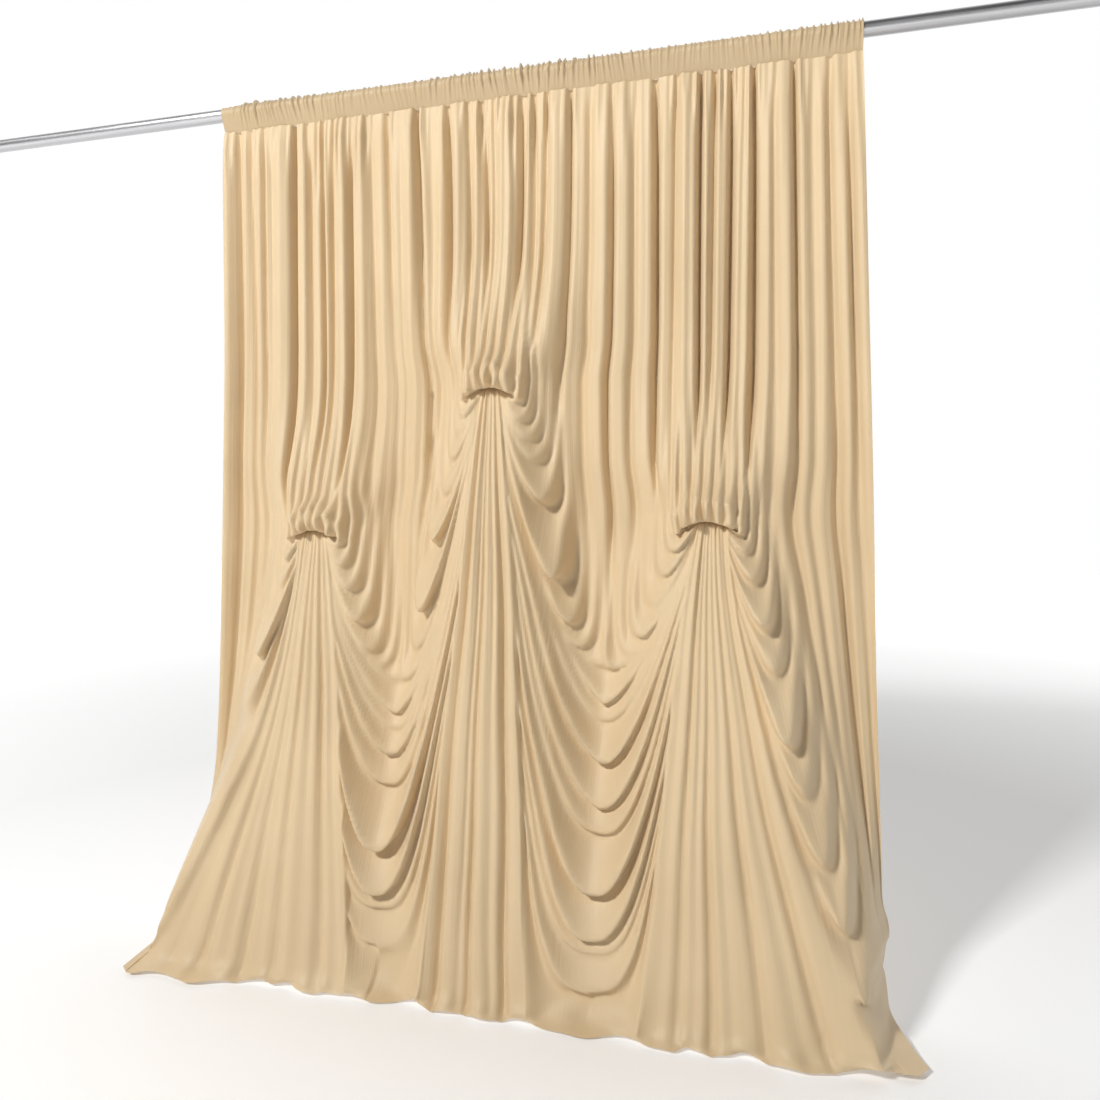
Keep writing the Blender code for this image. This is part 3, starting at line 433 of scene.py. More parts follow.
print("the outer folds hang down", OUTER_DROOP, "as far as the inner ones")

# %% [markdown]
# ## The cloth between two crowns
# Between two crowns the cloth falls back into a valley and comes out again. Where a fold runs
# level, the cloth sags, and its valley lies close under the upper crown. A narrow fold can't
# stand out as far as a wide one, because there isn't cloth enough in it, so its depth is held
# to a share of its width.

# %% From one crown to the next
FULLNESS = 1.00              # a fold's depth is held to about this share of its width
CREST = 1.25                 # how round a crown is
SWELL = 1.6                  # how full a narrow fold stands
VALLEY, VALLEY_SHIFT = 0.50, 0.30                # where the valley lies, and how much nearer a level crown


def fold_between(curves):
    """How far the cloth stands out between the crowns, and how level it runs there."""
    relief = np.zeros(curves[0][0].shape)
    level = np.zeros(relief.shape)
    distance, stand, flat = curves[0]
    for next_distance, next_stand, next_flat in curves[1:]:
        next_distance = np.minimum(next_distance, distance - TIGHTEST)
        inside = (distance >= 0) & (next_distance < 0)
        room = distance - next_distance
        f = np.clip(distance / room, 0.0, 1.0)
        run = flat * (1 - f) + next_flat * f
        valley = VALLEY - VALLEY_SHIFT * run
        turn = np.where(f < valley, 0.5 * f / valley, 0.5 + 0.5 * (f - valley) / (1 - valley))
        wave = np.abs(np.cos(math.pi * turn)) ** CREST
        size = stand * (1 - f) + next_stand * f
        limit = FULLNESS * room
        relief = np.where(inside, SWELL * wave * size * limit / (size + limit), relief)
        level = np.where(inside, run, level)
        distance, stand, flat = next_distance, next_stand, next_flat
    return relief, level, distance


print("valley of a level fold at", round(VALLEY - VALLEY_SHIFT, 2), "of its width")

# %% How sharp a crease is
CREASE_HALF = 0.0055         # how wide a crease is, at half its depth
BLUNT, SHARP, SHARPNESS = 1.7, 5.0, 0.7          # least, most and usual sharpness of a crease


def crease_power(room):
    """Creases stay narrow in a wide band, so a wider band has a steeper wall beside them."""
    return np.clip(SHARPNESS * room / (2 * CREASE_HALF), BLUNT, SHARP)


print("sharpness in a band 60 mm wide", float(crease_power(0.06)))

# %% Pleats of one fan
FAN_TOP = 0.004              # how far under the pick-up the fan starts
FAN_FULL = 0.03              # and how far under it the pleats have their full depth
FAN_FULLNESS = 0.85          # how full the pleats are, against the other folds
PLEAT_CROWN = 0.030          # how far a pleat stands out
PLEAT_SHARE, PLEAT_VARIES = 0.85, 0.35           # usual depth of a crease, and how much it changes
LEAST_ROOM = 1e-5            # a pleat is never narrower than this


def fan_folds(x, z, pick):
    """Broad pleats of one fan with a narrow crease between each two, and where the fan is."""
    name, middle, top, *_ = pick
    rows = list(PLEATS_LEFT_OF[name]) + list(reversed(PLEATS_RIGHT_OF[name]))
    places = [middle + reach(z, pick, row) for row in rows]
    under = smoothstep(0.0, FAN_FULL, top - z)
    folds = np.zeros(x.shape)
    within = np.zeros(x.shape, bool)
    last = len(rows) - 1
    for k in range(last):
        room = np.maximum(places[k + 1] - places[k], LEAST_ROOM)
        inside = (x >= places[k]) & (x < places[k + 1]) & (z < top - FAN_TOP)
        f = np.clip((x - places[k]) / room, 0.0, 1.0)
        if k == 0:
            dip = f ** crease_power(room)
            deep, crown = rows[1][2], rows[0][2]
        elif k == last - 1:
            dip = (1 - f) ** crease_power(room)
            deep, crown = rows[k][2], rows[last][2]
        else:
            dip = np.abs(2 * f - 1) ** crease_power(room)
            deep = rows[k][2] * (1 - f) + rows[k + 1][2] * f
            crown = PLEAT_CROWN
        deep = deep * (PLEAT_SHARE + PLEAT_VARIES * np.sin(4.1 * z + 2.3 * k + 9.0 * middle))
        limit = FAN_FULLNESS * FULLNESS * room
        tall = SWELL * crown * limit / (crown + limit)
        cut = np.minimum(SWELL * deep * limit / (deep + limit), tall + deep)
        folds = np.where(inside, under * (tall - cut * dip), folds)
        within = within | inside
    return folds, within


print("a pleat stands out", PLEAT_CROWN)

# %% All folds of the lower curtain


def relief_at(x, z):
    """How far the folds stand out from the hanging cloth, and how level they run, at each point."""
    left, centre, right = PICK_UPS
    # pick-up, side, where, then of its bay: the swags, this arm's column, x where they hang lowest
    sides = (
        (left, -1, x < left[1], None, 0, 0),
        (left, 1, (x >= left[1]) & (x < SPLIT_LEFT), SWAGS_LEFT, 2, SPLIT_LEFT),
        (centre, -1, (x >= SPLIT_LEFT) & (x < centre[1]), SWAGS_LEFT, 3, SPLIT_LEFT),
        (centre, 1, (x >= centre[1]) & (x < SPLIT_RIGHT), SWAGS_RIGHT, 2, SPLIT_RIGHT),
        (right, -1, (x >= SPLIT_RIGHT) & (x < right[1]), SWAGS_RIGHT, 3, SPLIT_RIGHT),
        (right, 1, x >= right[1], None, 0, 0),
    )
    relief = np.zeros(x.shape)
    level = np.zeros(x.shape)
    for pick, sign, here, swags, arm_column, split in sides:
        cowls = (COWLS_LEFT_OF if sign < 0 else COWLS_RIGHT_OF)[pick[0]]
        pleats = (PLEATS_LEFT_OF if sign < 0 else PLEATS_RIGHT_OF)[pick[0]]
        curves = side_curves(x, z, pick, sign, cowls, swags, arm_column, split, pleats)
        one, run, beyond = fold_between(curves)
        one, run = np.where(beyond >= 0, 0.0, one), np.where(beyond >= 0, 0.0, run)
        relief = np.where(here, one, relief)
        level = np.where(here, run, level)
    for pick in PICK_UPS:
        folds, within = fan_folds(x, z, pick)
        relief = np.where(within, folds, relief)
        level = np.where(within, 0.0, level)
    return relief, level


one_relief, _ = relief_at(np.array([SPLIT_LEFT]), np.array([SWAGS_LEFT[0][0]]))
print("the highest swag of the left bay stands out", round(float(one_relief[0]), 3))

# %% [markdown]
# ## The cloth under the heading
# The upper curtain hangs straight: bands between creases, broad waves and fine ripples across
# them, and short gathers that run out under the stitch line. Sines of several lengths are added
# up here. The other numbers inside a sine only keep its waves from repeating evenly.

# %% Bands between the creases
CREASE_REACH = 0.85          # how far up and down a crease keeps its depth
CREASE_DEPTH = 2.0           # all creases deeper or shallower
LEAST_CREASE = 0.45          # share of its depth that a crease keeps far from where it is deepest
DEEPEST_CREASE = 0.9         # deepest that a crease may be, as a share of the band beside it
BAND_SWELL = 0.10            # how far a band swells, as a share of its width
WANDER = 0.003               # how far a fold strays to the side as it runs
BAND_STRAY = 0.4             # the bands stray by this share of it


def creases_at(z):
    """Where each crease runs at these heights, and how deep it is there."""
    down = SEAM_HEIGHT - z
    for place, slide, deep, best in CREASES:
        share = LEAST_CREASE + (1 - LEAST_CREASE) * bell(z - best, CREASE_REACH)
        yield place + slide * down, CREASE_DEPTH * deep * share


def bands(s, z, squeeze):
    """Soft bands between the creases that run down from the heading."""
    strayed = s + BAND_STRAY * WANDER * np.sin(3.1 * z + 17.0 * s)
    folds = np.zeros(s.shape)
    creases = creases_at(z)
    before, deep_before = next(creases)
    for after, deep_after in creases:
        room = after - before
        inside = (strayed >= before) & (strayed < after)
        f = np.clip((strayed - before) / room, 0.0, 1.0)
        cut = np.minimum(deep_before * (1 - f) + deep_after * f, DEEPEST_CREASE * room * squeeze)
        swell = BAND_SWELL * room * squeeze * np.sin(math.pi * f)
        folds = np.where(inside, swell - cut * np.abs(2 * f - 1) ** crease_power(room), folds)
        before, deep_before = after, deep_after
    return folds


print("bands", len(CREASES) - 1)

# %% Waves, ripples and gathers
WAVE_DEEP, WAVE_PITCH = 0.007, 0.171             # broad waves: height, and from one to the next
RIPPLE_DEEP, RIPPLE_PITCH = 0.0032, 0.027        # fine ripples, the same
GATHER_DEEP = 0.0085                             # short gathers under the stitch line
GATHER_PITCH, WIDE_PITCH, WIDE_SHARE = 0.0205, 0.0315, 0.7   # narrow and wide ones, depth of the wide
GATHER_RUN, RUN_VARIES = 0.20, 0.14              # how far down they run, and how much that changes
SEAM_FLATTENS = 0.4          # how much the gathers take off the creases
STAND_OFF = 0.012            # how far in front of the heading the bands hang


def hanging_folds(s, z, squeeze):
    """All folds of the upper curtain, with the small gathers at its top."""
    broad = WAVE_DEEP * np.sin(2 * math.pi * s / WAVE_PITCH + 1.9 * np.sin(5.3 * s) + 0.8 * z)
    along = 2 * math.pi * s / RIPPLE_PITCH + 2.6 * np.sin(9.0 * s)
    ripple = RIPPLE_DEEP * np.sin(along + 0.5 * np.sin(2.1 * z + 8 * s))
    run = GATHER_RUN + RUN_VARIES * np.sin(37.0 * s) * np.sin(15.0 * s + 1.0)
    high = smoothstep(run, 0.0, SEAM_HEIGHT - z)
    narrow = np.sin(2 * math.pi * s / GATHER_PITCH + 3.0 * np.sin(11.0 * s))
    gathers = narrow + WIDE_SHARE * np.sin(2 * math.pi * s / WIDE_PITCH + 2.0)
    flattened = bands(s, z, squeeze) * (1 - SEAM_FLATTENS * high)
    return flattened + (broad + ripple) * squeeze + GATHER_DEEP * high * gathers + STAND_OFF


print("about", round((HEADING_RIGHT - HEADING_LEFT) / GATHER_PITCH), "gathers under the seam")

# %% Where the hanging folds turn into cowls
LINE_ENDS = 0.12             # how far outside the heading the line comes down to the floor


def cowl_line(x):
    """Height where the hanging folds end and turn up into the cowls."""
    points = [(HEADING_LEFT - LINE_ENDS, 0.0), (HEADING_RIGHT + LINE_ENDS, 0.0)]
    for name, middle, top, *_ in PICK_UPS:
        points.append((middle, top))
        points += [(arm, low) for arm, low, _ in COWLS_LEFT_OF[name] + COWLS_RIGHT_OF[name]]
    points = sorted(set(points))
    return eased(x, column(points, 0), column(points, 1))


print("lowest cowl of the left bay at", round(float(cowl_line(SPLIT_LEFT)), 3))

# %% [markdown]
# ## Slack cloth and rolls
# Stretch knit crumples where nothing pulls on it: in small folds across the free sides near the
# floor, in puffs along the hem, and in the crinkled roll that hides each tuck. Each is a
# swelling in a band of its own height, with a sine for its small folds.

# %% Rumples at the free sides and puffs along the hem
RUMPLE = 0.014               # how far the slack cloth bunches up
RUMPLE_PITCH = 0.075         # from one small fold to the next
RUMPLE_WIDE = 0.055          # how far in from the free side they reach
RUMPLE_HIGH = 0.34           # the highest of them
RUMPLE_FULL = 0.6            # below this share of that height they are at their deepest
RUMPLE_LOW = 0.05            # and below this height they run out
HEM_SWELL = 0.013            # how far the cloth puffs up where it meets the floor
PUFF_PITCH = 0.118           # from one puff to the next
PUFF_MIDDLE, PUFF_HALF = 0.012, 0.030            # height of the puffs, and half how high they are
PUFF_SHARE, PUFF_VARIES = 0.55, 0.45             # how full a puff is, and how much that changes


def rumples(x, z):
    """Small folds across the slack cloth at the two free sides, and puffs just above the floor."""
    heights = column(FREE_SIDES, 0)
    left = eased(z, heights, column(FREE_SIDES, 1))
    right = eased(z, heights, column(FREE_SIDES, 2))
    beside = bell(x - left, RUMPLE_WIDE) + bell(x - right, RUMPLE_WIDE)
    band = smoothstep(RUMPLE_HIGH, RUMPLE_FULL * RUMPLE_HIGH, z) * smoothstep(0.0, RUMPLE_LOW, z)
    full = PUFF_SHARE + PUFF_VARIES * np.sin(2 * math.pi * x / PUFF_PITCH + 2.0 * np.sin(7.0 * x))
    puffs = HEM_SWELL * bell(z - PUFF_MIDDLE, PUFF_HALF) * full
    return RUMPLE * band * beside * np.sin(2 * math.pi * z / RUMPLE_PITCH + 9.0 * x) + puffs


print("rumples", round(RUMPLE_HIGH / RUMPLE_PITCH), "at each free side")

# %% Roll over each pick-up
ROLL_HALF = 0.086            # half its width
ROLL_SAG = 0.046             # how much lower its ends hang
ROLL_SWELL = 0.040           # how far it swells out
ROLL_TUCK = 0.034            # how far the cloth goes back in under it
ROLL_HANG = 0.032            # how far it hangs over the fan
ROLL_CRINKLE = 0.0075        # how deep the small folds across it are
CRINKLE_PITCH = 0.034        # from one of them to the next
CRINKLE_SLANT, CRINKLE_STRAY = 1.5, 0.35         # how steeply they slant, and how far they stray
TUCK_NARROW = 1.1            # how much narrower the tuck is than the roll
# height of its middle over the pick-up, and half its height
SWELL_AT, CRINKLE_AT = (0.030, 0.034), (0.020, 0.030)
TUCK_AT, HANG_AT = (-0.006, 0.014), (0.014, 0.015)


def band_at(above, place):
    middle, half = place
    return bell(above - middle, half)


def roll_over(x, z, pick):
    """How far the roll over a pick-up swells out, and how far it hangs down over the fan."""
    _, middle, top, *_ = pick
    aside = (x - middle) / ROLL_HALF
    here = np.exp(-(aside ** 4))
    above = z - top + ROLL_SAG * aside ** 2
    stray = CRINKLE_STRAY * np.sin(3.0 * aside + 5.0 * middle)
    slant = np.abs(aside) * CRINKLE_SLANT - above / CRINKLE_PITCH + stray
    swell = ROLL_SWELL * band_at(above, SWELL_AT)
    crinkle = ROLL_CRINKLE * np.sin(2 * math.pi * slant) * band_at(above, CRINKLE_AT)
    tuck = ROLL_TUCK * band_at(above, TUCK_AT) * np.exp(-((TUCK_NARROW * aside) ** 4))
    return (swell + crinkle - tuck) * here, ROLL_HANG * band_at(above, HANG_AT) * here


print("a roll is", 2 * ROLL_HALF, "wide")

# %% [markdown]
# ## The draped surface
# Each gather pulls the cloth forward with it, most at the tuck and less to the sides, like a
# tent. The pulls of two gathers are joined softly, so no line shows where they meet. All parts
# then come together in one function: give it a place on the flat cloth, and it says where that
# place hangs.

# %% How far a gather pulls the cloth forward
TENT_SIDE = 0.085            # how far beside a gather the cloth is drawn forward with it
TENT_ABOVE = 0.060           # how much further it is above the roll
TENT_BELOW = 0.110           # and at the foot of the fan
TENT_HIGH = 0.24             # how far above the roll the cloth is still drawn forward
TENT_JOIN = 3                # how round the cloth runs from one gather's pull to the next


def gather_pull(x, z, foot, forward, pick):
    """How far one gather draws the cloth in front of where it would hang without it."""
    name, _, top, out, *_ = pick
    rows = FAN_SIDES[name]
    levels = column(rows, 0) * top
    left = eased(z, levels, column(rows, 1))
    right = eased(z, levels, column(rows, 2))
    middle, half = (left + right) / 2, (right - left) / 2
    aside = np.maximum(np.abs(x - middle) - half, 0.0)
    above = np.clip(z - top, 0, None)
    fall = np.clip(1.0 - z / top, 0.0, 1.0)
    spread = TENT_SIDE + TENT_ABOVE * smoothstep(0.0, TENT_HIGH, above) + TENT_BELOW * fall
    straight = out + (foot - out) * fall
    gain = np.where(z > top, out * bell(above, TENT_HIGH), straight - forward)
    return np.clip(gain, 0, None) * bell(aside, spread)


print("the cloth is drawn forward up to", TENT_HIGH, "above a roll")

# %% Folds of the upper and the lower curtain together
ARMS_UP, ARMS_FULL = 0.42, 0.02      # above a cowl its arms start to show here, and are full here
UNEVEN = 0.22                # how much a fold varies along its length
TOP_RELIEF = 0.45            # share of a fold's depth that it has at the seam
TOP_FADE = 0.05              # and how far under the seam it has all of it
SECOND_STRAY = 0.6           # share of the shorter of the two waves that a fold strays in


def all_folds(s, x, z, squeeze):
    """How far the cloth stands out at each point, and how level its folds run there."""
    stray = np.sin(4.3 * z + 9.0 * x) + SECOND_STRAY * np.sin(10.7 * z - 6.0 * x)
    strayed = x + WANDER * stray
    folds, level = relief_at(strayed, z)
    folds = folds * (1.0 + UNEVEN * np.sin(5.1 * z + 21.0 * x) * np.sin(3.3 * z - 13.0 * x + 1.0))
    lower = smoothstep(ARMS_UP, ARMS_FULL, z - cowl_line(strayed))
    folds = folds * lower + hanging_folds(s, z, squeeze) * (1 - lower)
    settle = TOP_RELIEF + (1 - TOP_RELIEF) * smoothstep(SEAM_HEIGHT, SEAM_HEIGHT - TOP_FADE, z)
    return folds * settle + rumples(x, z), level * lower


print("folds at the seam have", TOP_RELIEF, "of their depth")

# %% Where each point of the flat cloth hangs
HEM_W = -0.10                # the hem's place below the floor line, measured along the cloth
CORNER = 0.022               # how softly the sheet turns onto the floor
SWING_FROM = 1.25            # below this height the cloth runs forward to its foot
DROOP = 0.75                 # how far a fold hangs down for each metre it stands out
DROOP_FULL = 0.08            # from this height up it hangs down in full, and not at all at the floor
LYING = 0.7                  # how high a fold lies on the floor, as a share of its depth
HEM_FLATTENS = 0.6           # how much less of it is left at the hem
OVER_FLOOR = 1.2             # how high the cloth lies, in thicknesses
LEAST_SQUEEZE, MOST_SQUEEZE = 0.2, 1.2           # how much a gather may narrow or widen the folds
MOST_POWER = 40              # keeps the exponential from overflowing


def sheet_point(s, w):
    """World x, y and z of the sheet's front, as three arrays.

    s is the place along the heading. w is the height, and below nought it runs on along the floor.
    """
    s, w = np.broadcast_arrays(np.asarray(s, float), np.asarray(w, float))
    z = CORNER * np.logaddexp(0.0, w / CORNER)
    on_floor = CORNER * np.logaddexp(0.0, -w / CORNER)
    lie = 1.0 / (1.0 + np.exp(np.clip(w / CORNER, -MOST_POWER, MOST_POWER)))
    share = np.clip(-on_floor / HEM_W, 0, PAST_FLOOR)
    places = column(FOOT, 0)
    foot = eased(s, places, column(FOOT, 1))
    late = eased(s, places, column(FOOT, 3))
    straight_x = across(s, z)
    slope = (across(s + STEP, z) - across(s - STEP, z)) / (2 * STEP)
    squeeze = np.clip(slope, LEAST_SQUEEZE, MOST_SQUEEZE)
    x = straight_x + eased(s, places, column(FOOT, 2)) * share
    hem = eased(x, column(HEM, 0), column(HEM, 1))

    forward = foot * np.clip(1.0 - z / SWING_FROM, 0.0, 1.0) ** late
    pull = sum(gather_pull(straight_x, z, foot, forward, pick) ** TENT_JOIN for pick in PICK_UPS)
    rolls = [roll_over(straight_x, z, pick) for pick in PICK_UPS]
    forward = forward + pull ** (1 / TENT_JOIN) + sum(swell for swell, _ in rolls)
    relief, level = all_folds(s, straight_x, z, squeeze)
    droop = DROOP * relief * level * (1 - lie) * smoothstep(0.0, DROOP_FULL, z)
    droop = droop + sum(hang for _, hang in rolls)
    y = -(forward + relief * (1 - lie * share) + (hem - foot) * share)
    lying = LYING * np.clip(relief, 0, None) * lie * (1 - HEM_FLATTENS * share)
    return x, y, z - droop + lying + CLOTH * OVER_FLOOR


middle_of_seam = sheet_point(np.zeros(1), np.full(1, SEAM_HEIGHT))
print("middle of the seam", [round(float(value[0]), 3) for value in middle_of_seam])

# %% [markdown]
# ## Building the cloth
# The real curtain is one flat length of knit, so a flat grid is laid out first, and every point of
# it is moved to where the cloth hangs there. Columns and rows stand closer together at gathers,
# creases and rolls, because an even grid fine enough for those would be several times as big.

# %% Grid lines, closer together where there are more folds
COLUMNS = 430
ROWS_LOW = 216
ROWS_FLOOR = 12
FINE_STEPS = 4000                                # steps for sharing out the lines
GATHER_WEIGHT, GATHER_NEAR = 1.2, 0.09           # more columns in a gather, and how far beside it
CREASE_WEIGHT, CREASE_NEAR = 30.0, 0.012         # more at a crease, for each metre of its depth
TOP_WEIGHT, LOW_WEIGHT = 0.45, 0.75              # rows at the top, and more of them lower down
LOW_START, LOW_FULL = 1.75, 1.60                 # heights between which they become more
ROLL_WEIGHT, ROLL_RISE, ROLL_NEAR = 2.2, 0.01, 0.035         # more at a roll, its middle, how near it
FLOOR_WEIGHT, FLOOR_NEAR = 0.8, 0.10             # more at the floor, and how near it


def spaced(low, high, count, weight):
    """Places from low to high, closer together where the weight is higher."""
    fine = np.linspace(low, high, FINE_STEPS)
    heavy = weight(fine)
    total = np.concatenate(([0.0], np.cumsum((heavy[1:] + heavy[:-1]) / 2)))
    return np.interp(np.linspace(0.0, total[-1], count), total, fine)


def column_weight(s):
    weight = np.ones(s.shape)
    for *_, start, end in PICK_UPS:
        weight += GATHER_WEIGHT * smoothstep(GATHER_NEAR, 0.0, np.maximum(start - s, s - end))
    for place, _, deep, _ in CREASES:
        weight += CREASE_WEIGHT * deep * bell(s - place, CREASE_NEAR)
    return weight


def row_weight(w):
    weight = TOP_WEIGHT + LOW_WEIGHT * smoothstep(LOW_START, LOW_FULL, w)
    for _, _, top, *_ in PICK_UPS:
        weight += ROLL_WEIGHT * bell(w - top - ROLL_RISE, ROLL_NEAR)
    return weight + FLOOR_WEIGHT * smoothstep(FLOOR_NEAR, 0.0, w)


print("grid", COLUMNS, "columns,", ROWS_LOW + ROWS_FLOOR, "rows")

# %% A grid of points as a mesh


def in_scene(name, data):
    """A new object of its data, put into the scene."""
    obj = bpy.data.objects.new(name, data)
    bpy.context.scene.collection.objects.link(obj)
    return obj


def grid_object(name, x, y, z, across_share, down_share):
    """A grid of points as a smooth mesh, with a UV map in metres of flat cloth."""
    rows, cols = x.shape
    mesh = bpy.data.meshes.new(name)
    bm = bmesh.new()
    bmesh.ops.create_grid(bm, x_segments=cols - 1, y_segments=rows - 1, size=0.5)
    bm.verts.ensure_lookup_table()
    uv = bm.loops.layers.uv.new("cloth")
    at = np.stack([x, y, z], -1)[::-1].reshape(-1, 3) + np.array(TO_ROW)
    for vert, co in zip(bm.verts, at):
        vert.co = co
    flat_u = np.broadcast_to(across_share, x.shape)[::-1].reshape(-1) * CLOTH_WIDE
    flat_v = np.broadcast_to(down_share, x.shape)[::-1].reshape(-1) * CLOTH_LONG
    for face in bm.faces:
        face.smooth = True
        for loop in face.loops:
            k = loop.vert.index
            loop[uv].uv = (flat_u[k], flat_v[k])
    bm.to_mesh(mesh)
    bm.free()
    return in_scene(name, mesh)


print("the UV map is", CLOTH_WIDE, "by", CLOTH_LONG)

# %% Drape the cloth
FINER = 2       # the folds are worked out this much finer, then evened out


def evened(values):
    """Each point averaged with its neighbours, so that no fold has ragged rims."""
    for axis in (0, 1):
        first, second, last = values.take([0], axis), values.take([1], axis), values.take([-1], axis)
        padded = np.concatenate([2 * first - second, values, 2 * last - values.take([-2], axis)], axis)
        count = values.shape[axis]
        before = padded.take(range(count), axis)
        after = padded.take(range(2, count + 2), axis)
        values = 0.25 * before + 0.5 * values + 0.25 * after
    return values


def drape():
    """The hanging sheet: worked out on a finer grid, evened out, then thinned to its own grid."""
    s = spaced(HEADING_LEFT, HEADING_RIGHT, (COLUMNS - 1) * FINER + 1, column_weight)
    w = np.concatenate([
        spaced(0.0, SEAM_HEIGHT, (ROWS_LOW - 1) * FINER + 1, row_weight)[::-1],
        np.linspace(0.0, HEM_W, ROWS_FLOOR * FINER + 1)[1:],
    ])
    s_grid, w_grid = np.meshgrid(s, w)
    x, y, z = sheet_point(s_grid, w_grid)
    for _ in range(FINER * 2 - 1):
        x, y, z = evened(x), evened(y), evened(z)
    keep = (slice(None, None, FINER), slice(None, None, FINER))
    s_grid, w_grid = s_grid[keep], w_grid[keep]
    across_share = (s_grid - HEADING_LEFT) / (HEADING_RIGHT - HEADING_LEFT)
    down_share = (w_grid - HEM_W) / (SEAM_HEIGHT - HEM_W)
    return grid_object("curtain_cloth", x[keep], y[keep], z[keep], across_share, down_share)


cloth = drape()
print("cloth", len(cloth.data.polygons), "faces")

# %% [markdown]
# ## The gathered pocket
# The top of the cloth is folded over and stitched, and the rod goes through the sleeve that this
# makes. It runs up the front of the rod, over it and down the back. The cloth is pushed together
# along the rod, so many small uneven gathers run round it. They could be drawn as bump alone,
# but then the pocket's outline would be straight, so they are real.

# %% Section of the plain sleeve
POCKET_CLEAR = 0.0012        # how far the cloth is from the rod


def sleeve_section(turn):
    """y and z from the stitch line up the front, over the rod and down the back."""
    radius = ROD_DIAMETER / 2 + POCKET_CLEAR
    drop = ROD_HEIGHT - SEAM_HEIGHT
    under = math.acos(radius / drop)
    lower = math.sin(under) * drop
    length = 2 * lower + radius * (2 * math.pi - 2 * under)
    along = turn * length
    angle = under + (along - lower) / radius
    straight_front = np.clip(along / lower, 0.0, 1.0)
    straight_back = np.clip((length - along) / lower, 0.0, 1.0)
    tangent_y = radius * math.sin(under)
    tangent_z = -radius * math.cos(under)
    on_front = along < lower
    on_back = along > length - lower
    y = np.where(on_back, tangent_y * straight_back, -radius * np.sin(angle))
    y = np.where(on_front, -tangent_y * straight_front, y)
    low_z = -drop + (tangent_z + drop) * np.where(on_front, straight_front, straight_back)
    z = np.where(on_front | on_back, low_z, -radius * np.cos(angle))
    return y, z


print("the stitch line is", round(ROD_HEIGHT - SEAM_HEIGHT, 3), "under the middle of the rod")

# %% Gathers round the sleeve
GATHER = 0.0036              # how far the gathers stand out
LEAST_GATHER = 0.1           # how much of that the cloth stands off between them
LEAN = 0.022                 # how far a gather leans to the side on its way over the rod
PLAIN_END = 0.10             # the gathers grow over this length at the left end
GATHER_SHARE, GATHER_VARIES = 0.80, 0.35         # usual depth, and how much it changes along the rod
SOFT_VALLEY = 1.8            # how sharply the gathers meet the cloth between them
# from one gather to the next, how deep it is beside the others, its phase
POCKET_WAVES = ((0.0083, 0.9, 0.0), (0.0137, 1.2, 1.3), (0.0215, 0.8, 2.1), (0.047, 0.4, 0.4))


def pocket_gathers(x, turn):
    """How far the gathers stand out at each point: never below nothing, so the rod stays hidden."""
    lean = LEAN * np.sin(19.0 * x + 2.0) * turn
    wave = 0.0
    for pitch, size, phase in POCKET_WAVES:
        stray = 1.5 * np.sin(11.0 * x + phase) + 1.1 * np.sin(29.0 * x + 2.0 * phase + 2.5 * turn)
        wave = wave + size * np.sin(2 * math.pi * (x + lean) / pitch + phase + stray)
    wave = wave * (GATHER_SHARE + GATHER_VARIES * np.sin(7.3 * x + 1.0))
    wave = wave * smoothstep(0.0, PLAIN_END, x - HEADING_LEFT)
    return GATHER * (LEAST_GATHER + np.logaddexp(0.0, SOFT_VALLEY * wave) / SOFT_VALLEY)


print("lengths of the gathers", [pitch for pitch, _, _ in POCKET_WAVES])

# %% Build the pocket
POCKET_COLUMNS = 700
POCKET_ROWS = 44
SEAM_NEAR = 0.02             # so near the stitches, as a share of the way round, they are lowest
SEAM_GROW = 0.3              # how quickly they grow from there
POCKET_V = 0.04              # share of the cloth's length that the pocket has in the UV map


def pocket():
    share = np.linspace(0.0, 1.0, POCKET_COLUMNS)[None, :]
    turn = np.linspace(0.0, 1.0, POCKET_ROWS)[:, None]
    y, z = sleeve_section(turn)
    x = HEADING_LEFT + (HEADING_RIGHT - HEADING_LEFT) * share
    held = np.sin(math.pi * np.clip(turn, SEAM_NEAR, 1 - SEAM_NEAR)) ** SEAM_GROW
    grow = 1.0 + pocket_gathers(x, turn) / (ROD_DIAMETER / 2 + POCKET_CLEAR) * held
    x = np.broadcast_to(x, grow.shape) + 0.0
    z = np.where(z > 0, z * grow, z) + ROD_HEIGHT
    return grid_object("pocket_cloth", x, y * grow, z, share, 1.0 + turn * POCKET_V)


sleeve = pocket()
print("pocket", len(sleeve.data.polygons), "faces")

# %% [markdown]
# ## Champagne knit
# The cloth is a fine, rather matt stretch knit. Its colour changes a little from place to place,
# so soft clouds mix two close tones. Wrinkles too narrow for the mesh and the ribs of the knit
# run down the cloth. Both could be modelled, but that takes millions of faces, so they are
# bump. They read the UV map, which is in metres of flat cloth, and so follow every fold.

# %% A new material


def new_material(name):
    """A material with its nodes, its links and its surface shader."""
    material = bpy.data.materials.new(name)
    material.use_nodes = True
    nodes = material.node_tree.nodes
    return material, nodes, material.node_tree.links, nodes["Principled BSDF"]


print("materials so far", len(bpy.data.materials))

# %% The knit: tone, fine folds and ribs


